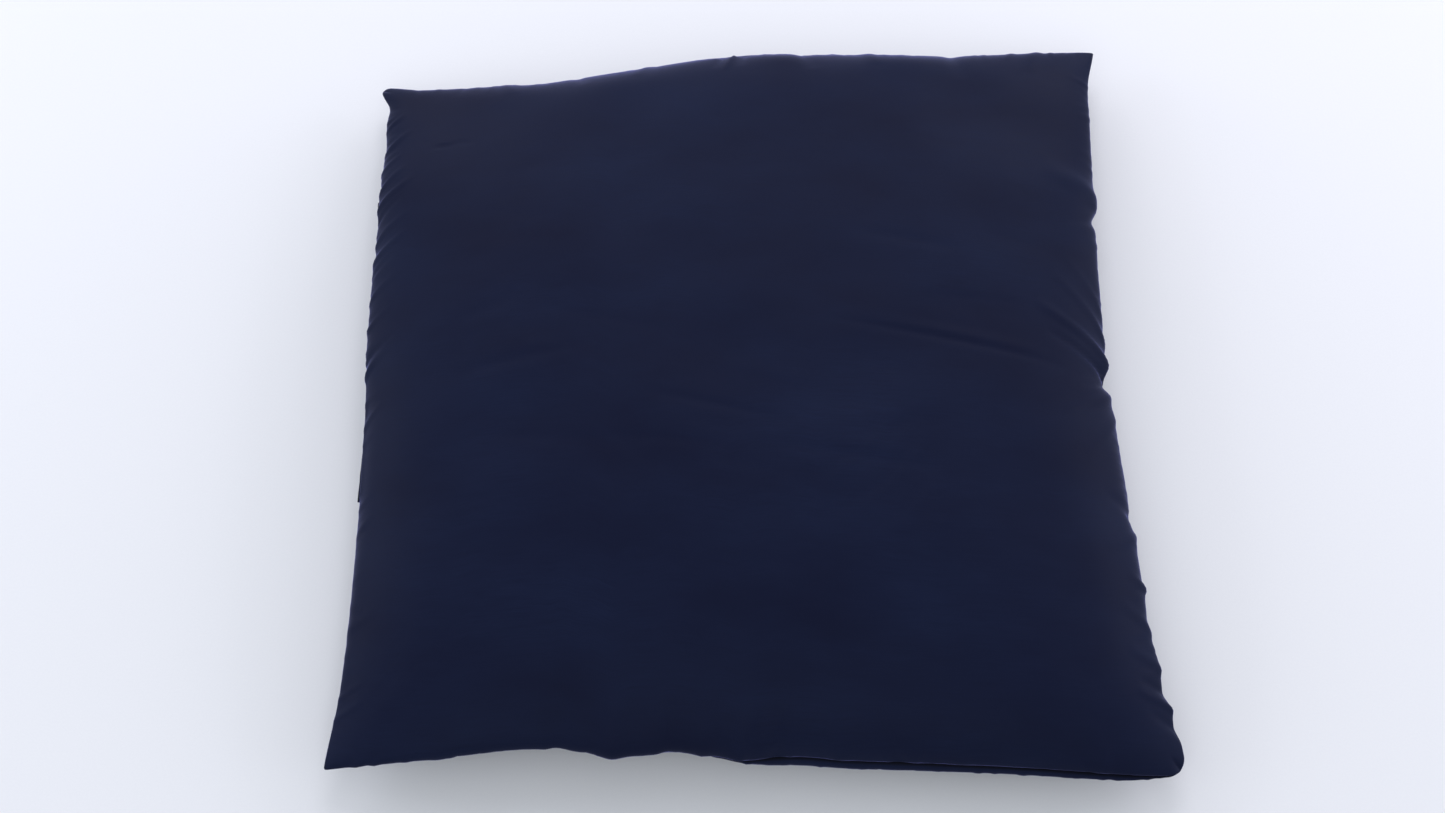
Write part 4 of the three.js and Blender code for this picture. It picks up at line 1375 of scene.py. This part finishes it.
# %% Repeat a part
def tube_part(name, path, radius, ring=5):
    """A short closed tube round a path: the part that gets repeated."""
    path = np.array(path, float)
    tangent = np.gradient(path, axis=0)
    tangent /= np.linalg.norm(tangent, axis=1, keepdims=True)
    side = np.cross(tangent, (1.0, 0.0, 0.0))
    flat = np.linalg.norm(side, axis=1) < 0.05
    side[flat] = np.cross(tangent[flat], (0.0, 0.0, 1.0))
    side /= np.linalg.norm(side, axis=1, keepdims=True)
    other = np.cross(side, tangent)
    radii = np.broadcast_to(radius, len(path))
    angles = np.linspace(0, 2 * np.pi, ring, endpoint=False)
    rings = [[p + r * (math.cos(a) * s + math.sin(a) * o) for a in angles]
             for p, r, s, o in zip(path, radii, side, other)]
    mesh = sweep_mesh(name, np.array(rings)[:, ::-1])
    part = bpy.data.objects.new(name, mesh)
    return part


def repeat(name, paths, part, pitch, material, turn=0.0, uneven=0.0, seed=1):
    """One mesh that holds the part, repeated along one or more paths."""
    paths = [np.array(path, float) for path in paths]
    edges, start = [], 0
    for path in paths:
        edges += [(start + i, start + i + 1) for i in range(len(path) - 1)]
        start += len(path)
    mesh = bpy.data.meshes.new("path")
    mesh.from_pydata(np.concatenate(paths).tolist(), edges, [])
    carrier = bpy.data.objects.new("path", mesh)
    bpy.context.scene.collection.objects.link(carrier)
    modifier = carrier.modifiers.new("repeat", "NODES")
    modifier.node_group = along_path
    given = {"Part": part, "Pitch": pitch, "Turn": turn, "Uneven": uneven, "Seed": seed, "Finish": material}
    for socket in along_path.interface.items_tree:
        if socket.item_type == "SOCKET" and socket.name in given:
            modifier[socket.identifier] = given[socket.name]
    evaluated = carrier.evaluated_get(bpy.context.evaluated_depsgraph_get())
    result = bpy.data.meshes.new_from_object(evaluated)
    result.name = name
    bpy.data.objects.remove(carrier)
    result.materials.clear()
    result.shade_smooth()
    return result


print("ready to sew")

# %% [markdown]
# ## Nylon coil
#
# The coil is one nylon thread wound into a flattened spiral and sewn to the tape. Each turn has a wider
# head that locks between two heads of the other coil. Black nylon is smooth from the mould but not
# glossy, and its edges catch thin highlights. The turns are 1.5 mm apart here.

# %% Make both coils
COIL_PITCH = 1.5 * MM
COIL_WIRE = 0.3 * MM

black_nylon, tree, shader = finish_tree("black_moulded_nylon")
here = add(tree, "ShaderNodeTexCoord").outputs["Object"]
drawn = add(tree, "ShaderNodeTexNoise", {"Vector": here, "Scale": 1 / (0.8 * MM), "Detail": 3.0})
nylon_tone = add(tree, "ShaderNodeMix", {
    0: drawn.outputs["Fac"], 6: dye("0e0f14"), 7: dye("1b1d26"),
}, data_type="RGBA")
nylon_shine = add(tree, "ShaderNodeMapRange", {
    "Value": drawn.outputs["Fac"], "To Min": 0.32, "To Max": 0.48,
})
tree.links.new(nylon_tone.outputs[2], shader.inputs["Base Color"])
tree.links.new(nylon_shine.outputs["Result"], shader.inputs["Roughness"])
shader.inputs["IOR"].default_value = 1.53

coil_middle = (coil_low.x + coil_high.x) / 2
coil_deep = (coil_high.x - coil_low.x) / 2 - COIL_WIRE
head = coil_low.z - SEAM_HEIGHT - 0.55 * MM
heel = coil_high.z - SEAM_HEIGHT - COIL_WIRE
for name, side, node, shift in (
    ("zip_teeth_up", 1, "zip_coil_upper", 0.0),
    ("zip_teeth_down", -1, "zip_coil_lower", COIL_PITCH / 2),
):
    turn_path = [
        (0.25 * COIL_PITCH, -coil_deep, side * heel), (0.12 * COIL_PITCH, -coil_deep, side * heel * 0.55),
        (0, -coil_deep * 0.8, side * (head + 0.5 * MM)), (0, 0, side * (head + 0.1 * MM)),
        (0, coil_deep * 0.8, side * (head + 0.5 * MM)), (-0.12 * COIL_PITCH, coil_deep, side * heel * 0.55),
        (-0.25 * COIL_PITCH, coil_deep, side * heel),
    ]
    thick = np.array([0.9, 0.9, 1.1, 1.35, 1.1, 0.9, 0.9]) * COIL_WIRE
    tooth = tube_part("tooth", turn_path, thick, 6)
    line = [
        (coil_middle, coil_low.y + shift + 0.5 * MM, SEAM_HEIGHT),
        (coil_middle, coil_high.y - 0.5 * MM, SEAM_HEIGHT),
    ]
    coil = repeat(name, [line], tooth, COIL_PITCH, black_nylon)
    link(name, coil, black_nylon, stands_for=(node,))
    print(name, len(coil.polygons), "faces")

# %% [markdown]
# ## Stitches
#
# A lockstitch is a row of short straight threads, each sunk at both ends. A bar tack is the same thread
# sewn back and forth across the end of the slot, so densely that it makes a small bar. An overlock
# stitch is a loop that wraps the raw edge of an allowance, over and under, at a slight slant.

# %% Sew the lip, the bar tacks and the allowances
THREAD = 0.17 * MM
LIP_STITCH = 2.6 * MM
LIP_PITCH = 3.1 * MM
TACK_PITCH = 0.38 * MM


def stitch_part(length, thickness, sink):
    """A thread of one stitch along x, sunk at both ends."""
    share = np.linspace(-1, 1, 7)
    path = np.stack([share * length / 2, np.zeros(7), -sink * share**4], -1)
    return tube_part("stitch", path, thickness * np.array([0.7, 1, 1.05, 1.1, 1.05, 1, 0.7]), 5)


LIP_SEWN = 1.6 * MM  # the row of stitches stands this far behind the fold
sewn_x = fold_front + LIP_SEWN
rows = [np.stack([sewn_x, lip_y, np.full(LIP_STATIONS, lip_middle + side * (lip_half + 0.02 * MM))], -1)[3:-3]
        for side in (1, -1)]
lip_stitches = [
    repeat("lip_stitches", [row], stitch_part(LIP_STITCH, THREAD, side * 0.2 * MM), LIP_PITCH, navy_thread,
           0.05, 0.12, 3)
    for side, row in zip((1, -1), rows)
]
for label, mesh in zip(("zip_lip_stitches_top", "zip_lip_stitches_under"), lip_stitches):
    link(label, mesh, navy_thread, slot="navy_thread")

for label, node in (("zip_tack_near", "zip_bar_tack_near"), ("zip_tack_far", "zip_bar_tack_far")):
    low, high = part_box(node)
    count = round((high.z - low.z) / TACK_PITCH)
    face = low.x + 0.2 * MM
    centre = (low.y + high.y) / 2
    heights = [low.z + (i + 0.5) * TACK_PITCH for i in range(count)]
    columns = [[(face, centre, height), (face + 1e-6, centre + 1e-5, height)] for height in heights]
    stitch = stitch_part(high.y - low.y, THREAD * 1.25, 0.0)
    bar = repeat(label, columns, stitch, 1.0, navy_thread, 0.06, 0.1, 5)
    link(label, bar, navy_thread, stands_for=(node,))
    print(label, count, "threads", len(bar.polygons), "faces")

OVERLOCK_PITCH = 3.0 * MM
OVERLOCK_BITE = 3.5 * MM
OVERLOCK_SLANT = 0.9 * MM


def overlock_part(band_thickness):
    """A loop of thread that wraps an edge. The band lies on its +y side."""
    lift = band_thickness / 2 + THREAD
    path = [(-OVERLOCK_SLANT, OVERLOCK_BITE, lift - 0.5 * THREAD), (0, OVERLOCK_BITE / 3, lift),
            (OVERLOCK_SLANT / 2, -2 * THREAD, 0),
            (0, OVERLOCK_BITE / 3, -lift), (-OVERLOCK_SLANT, OVERLOCK_BITE, 0.5 * THREAD - lift)]
    return tube_part("overlock", path, THREAD, 5)


for label, edge_line, thickness, thread, slot in (
    ("cover_overlock_stitches", allowance_inner, ALLOWANCE_THICKNESS, navy_thread, "navy_thread"),
    ("inner_overlock_stitches", casing_seam[1], INNER_ALLOWANCE, white_thread, "white_cotton"),
):
    row = repeat(label, [edge_line], overlock_part(thickness), OVERLOCK_PITCH, thread, 0.08, 0.1, 9)
    link(label, row, thread, slot=slot)
    print(label, len(row.polygons), "faces")

# %% [markdown]
# ## Enamelled zinc
#
# The slider, its tab and the stops are die-cast or pressed zinc alloy, stove-enamelled black. Enamel
# pools a little, so its gloss wavers over a millimetre or two, and where fingers and the coil rub, the
# edges wear down to grey metal. Edges are found by comparing the normal with one that is rounded over
# 0.3 mm, which differs only close to an edge.

# %% Make the enamel
EDGE_WEAR = 0.3 * MM

enamelled_zinc, tree, shader = finish_tree("black_enamelled_zinc")
here = add(tree, "ShaderNodeTexCoord").outputs["Object"]
pooled = add(tree, "ShaderNodeTexNoise", {"Vector": here, "Scale": 1 / (1.6 * MM), "Detail": 2.0})
scuffs = add(tree, "ShaderNodeTexNoise", {
    "Vector": here, "Scale": 1 / (0.5 * MM), "Detail": 5.0, "Roughness": 0.7,
})
rounded = add(tree, "ShaderNodeBevel", {"Radius": EDGE_WEAR})
true_normal = add(tree, "ShaderNodeNewGeometry").outputs["Normal"]
agreement = add(tree, "ShaderNodeVectorMath", {
    0: rounded.outputs["Normal"], 1: true_normal,
}, operation="DOT_PRODUCT")
edge = add(tree, "ShaderNodeMapRange", {
    "Value": agreement.outputs["Value"], "From Min": 0.99, "From Max": 0.86,
})
rubbed = add(tree, "ShaderNodeMath", {
    0: edge.outputs["Result"], 1: scuffs.outputs["Fac"],
}, operation="MULTIPLY")
bare = add(tree, "ShaderNodeMapRange", {"Value": rubbed.outputs["Value"], "From Min": 0.42, "From Max": 0.6})
enamel_tone = add(tree, "ShaderNodeMix", {
    0: bare.outputs["Result"], 6: dye("0d0e12"), 7: dye("8d8f94"),
}, data_type="RGBA")
gloss = add(tree, "ShaderNodeMapRange", {"Value": pooled.outputs["Fac"], "To Min": 0.16, "To Max": 0.34})
pooling = add(tree, "ShaderNodeBump", {
    "Strength": 0.25, "Distance": 0.1 * MM, "Height": pooled.outputs["Fac"],
})
tree.links.new(enamel_tone.outputs[2], shader.inputs["Base Color"])
tree.links.new(bare.outputs["Result"], shader.inputs["Metallic"])
tree.links.new(gloss.outputs["Result"], shader.inputs["Roughness"])
tree.links.new(pooling.outputs["Normal"], shader.inputs["Normal"])
print("enamel worn within", EDGE_WEAR / MM, "mm of an edge")

# %% [markdown]
# ## Slider, tab and stops
#
# These shapes are right in the frame already. What they lack is the small round edge that casting and
# enamel give. A merged copy of each gets a bevel and stands in for the frame's part, on the same body.

# %% Round the zip's hard parts
import bmesh

SMALL_EDGE = 0.22 * MM
SHARP_FOLD = math.radians(35)  # edges that turn more than this are rounded


def rounded_copy(name, node):
    """A merged copy of a frame part's mesh with its sharp edges rounded."""
    form = bmesh.new()
    form.from_mesh(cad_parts[node].data)
    bmesh.ops.remove_doubles(form, verts=form.verts, dist=0.002 * MM)
    bmesh.ops.dissolve_limit(form, angle_limit=math.radians(2), verts=form.verts, edges=form.edges)
    shared = [edge for edge in form.edges if len(edge.link_faces) == 2]
    sharp = [edge for edge in shared if edge.calc_face_angle() > SHARP_FOLD]
    bmesh.ops.bevel(
        form, geom=sharp, offset=SMALL_EDGE, segments=2, profile=0.5, affect="EDGES", clamp_overlap=True)
    bmesh.ops.triangulate(form, faces=form.faces)
    mesh = bpy.data.meshes.new(name)
    form.to_mesh(mesh)
    form.free()
    mesh.shade_smooth()
    mesh.set_sharp_from_angle(angle=math.radians(50))
    return mesh


for name, node, body in (
    ("zip_slider_cast", "zip_slider_body", "zip_slider"),
    ("zip_tab", "zip_pull_tab", "zip_pull"),
    ("zip_stop_top_up", "zip_top_stop_upper", "cushion"),
    ("zip_stop_top_down", "zip_top_stop_lower", "cushion"),
    ("zip_stop_bottom", "zip_bottom_stop", "cushion"),
):
    mesh = rounded_copy(name, node)
    link(name, mesh, enamelled_zinc, body=body, stands_for=(node,))
    print(name, len(mesh.polygons), "triangles on", body)

# %% [markdown]
# ## Floor and light
#
# A pale sweep of paper, a bright even room and large soft lights. The main lights stand high beyond the
# far side and its corners, so the cushion gleams there and its near side falls off into shade. Four
# low lights at both sides and a wide one above the camera keep the shadow on the floor faint.

# %% Lay the floor and hang the lights
FLOOR_SIZE = 9.0

paper, tree, shader = finish_tree("matt_white_paper")
fibres = add(tree, "ShaderNodeTexNoise", {
    "Vector": add(tree, "ShaderNodeTexCoord").outputs["Object"], "Scale": 400.0, "Detail": 2.0,
})
tint = add(tree, "ShaderNodeMix", {
    0: fibres.outputs["Fac"], 6: dye("dfe2e6"), 7: dye("e3e6e9"),
}, data_type="RGBA")
tree.links.new(tint.outputs[2], shader.inputs["Base Color"])
shader.inputs["Roughness"].default_value = 0.9
shader.inputs["Specular IOR Level"].default_value = 0.1

floor_mesh = bpy.data.meshes.new("floor")
half_floor = FLOOR_SIZE / 2
floor_mesh.from_pydata(
    [(x * half_floor, y * half_floor, 0) for x, y in ((-1, -1), (1, -1), (1, 1), (-1, 1))],
    [], [(0, 1, 2, 3)])
floor_mesh.materials.append(paper)
floor = bpy.data.objects.new("floor", floor_mesh)
bpy.context.scene.collection.objects.link(floor)

world = bpy.data.worlds.new("room")
world.use_nodes = True
world.node_tree.nodes["Background"].inputs["Color"].default_value = dye("f1f3f8")
world.node_tree.nodes["Background"].inputs["Strength"].default_value = 0.56
bpy.context.scene.world = world


def soft_light(name, place, size, power, colour):
    """A square area light that faces the middle of the floor."""
    data = bpy.data.lights.new(name, "AREA")
    data.shape = "SQUARE"
    data.size = size
    data.energy = power
    data.color = dye(colour)[:3]
    lamp = bpy.data.objects.new(name, data)
    lamp.location = place
    lamp.rotation_euler = Vector(place).to_track_quat("Z", "Y").to_euler()
    bpy.context.scene.collection.objects.link(lamp)


soft_light("far_light", (0.2, 2.7, 3.0), 2.0, 38, "fbf6ff")
soft_light("far_left_light", (-1.7, 2.9, 1.6), 1.4, 26, "fbf6ff")
soft_light("far_right_light", (2.0, 2.9, 1.6), 1.4, 30, "fbf6ff")
soft_light("camera_side_light", (-0.3, -2.2, 2.8), 2.6, 22, "fafcff")
soft_light("right_light", (3.0, 0.8, 1.2), 1.4, 26, "f4f0ff")
soft_light("left_light", (-3.0, 0.8, 1.2), 1.4, 26, "eef2ff")
soft_light("near_right_light", (2.9, -1.0, 1.2), 1.4, 13, "f6f8ff")
soft_light("near_left_light", (-2.9, -1.0, 1.2), 1.4, 11, "f6f8ff")

# %% [markdown]
# ## Tie the pieces to their bodies
#
# Last, every piece is tied to the body it moves with, and takes the place of its CAD nodes, which are hidden.

for name, (piece, body, slot, stands_for) in pieces.items():
    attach(piece, body)
    if stands_for:
        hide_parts(*stands_for)
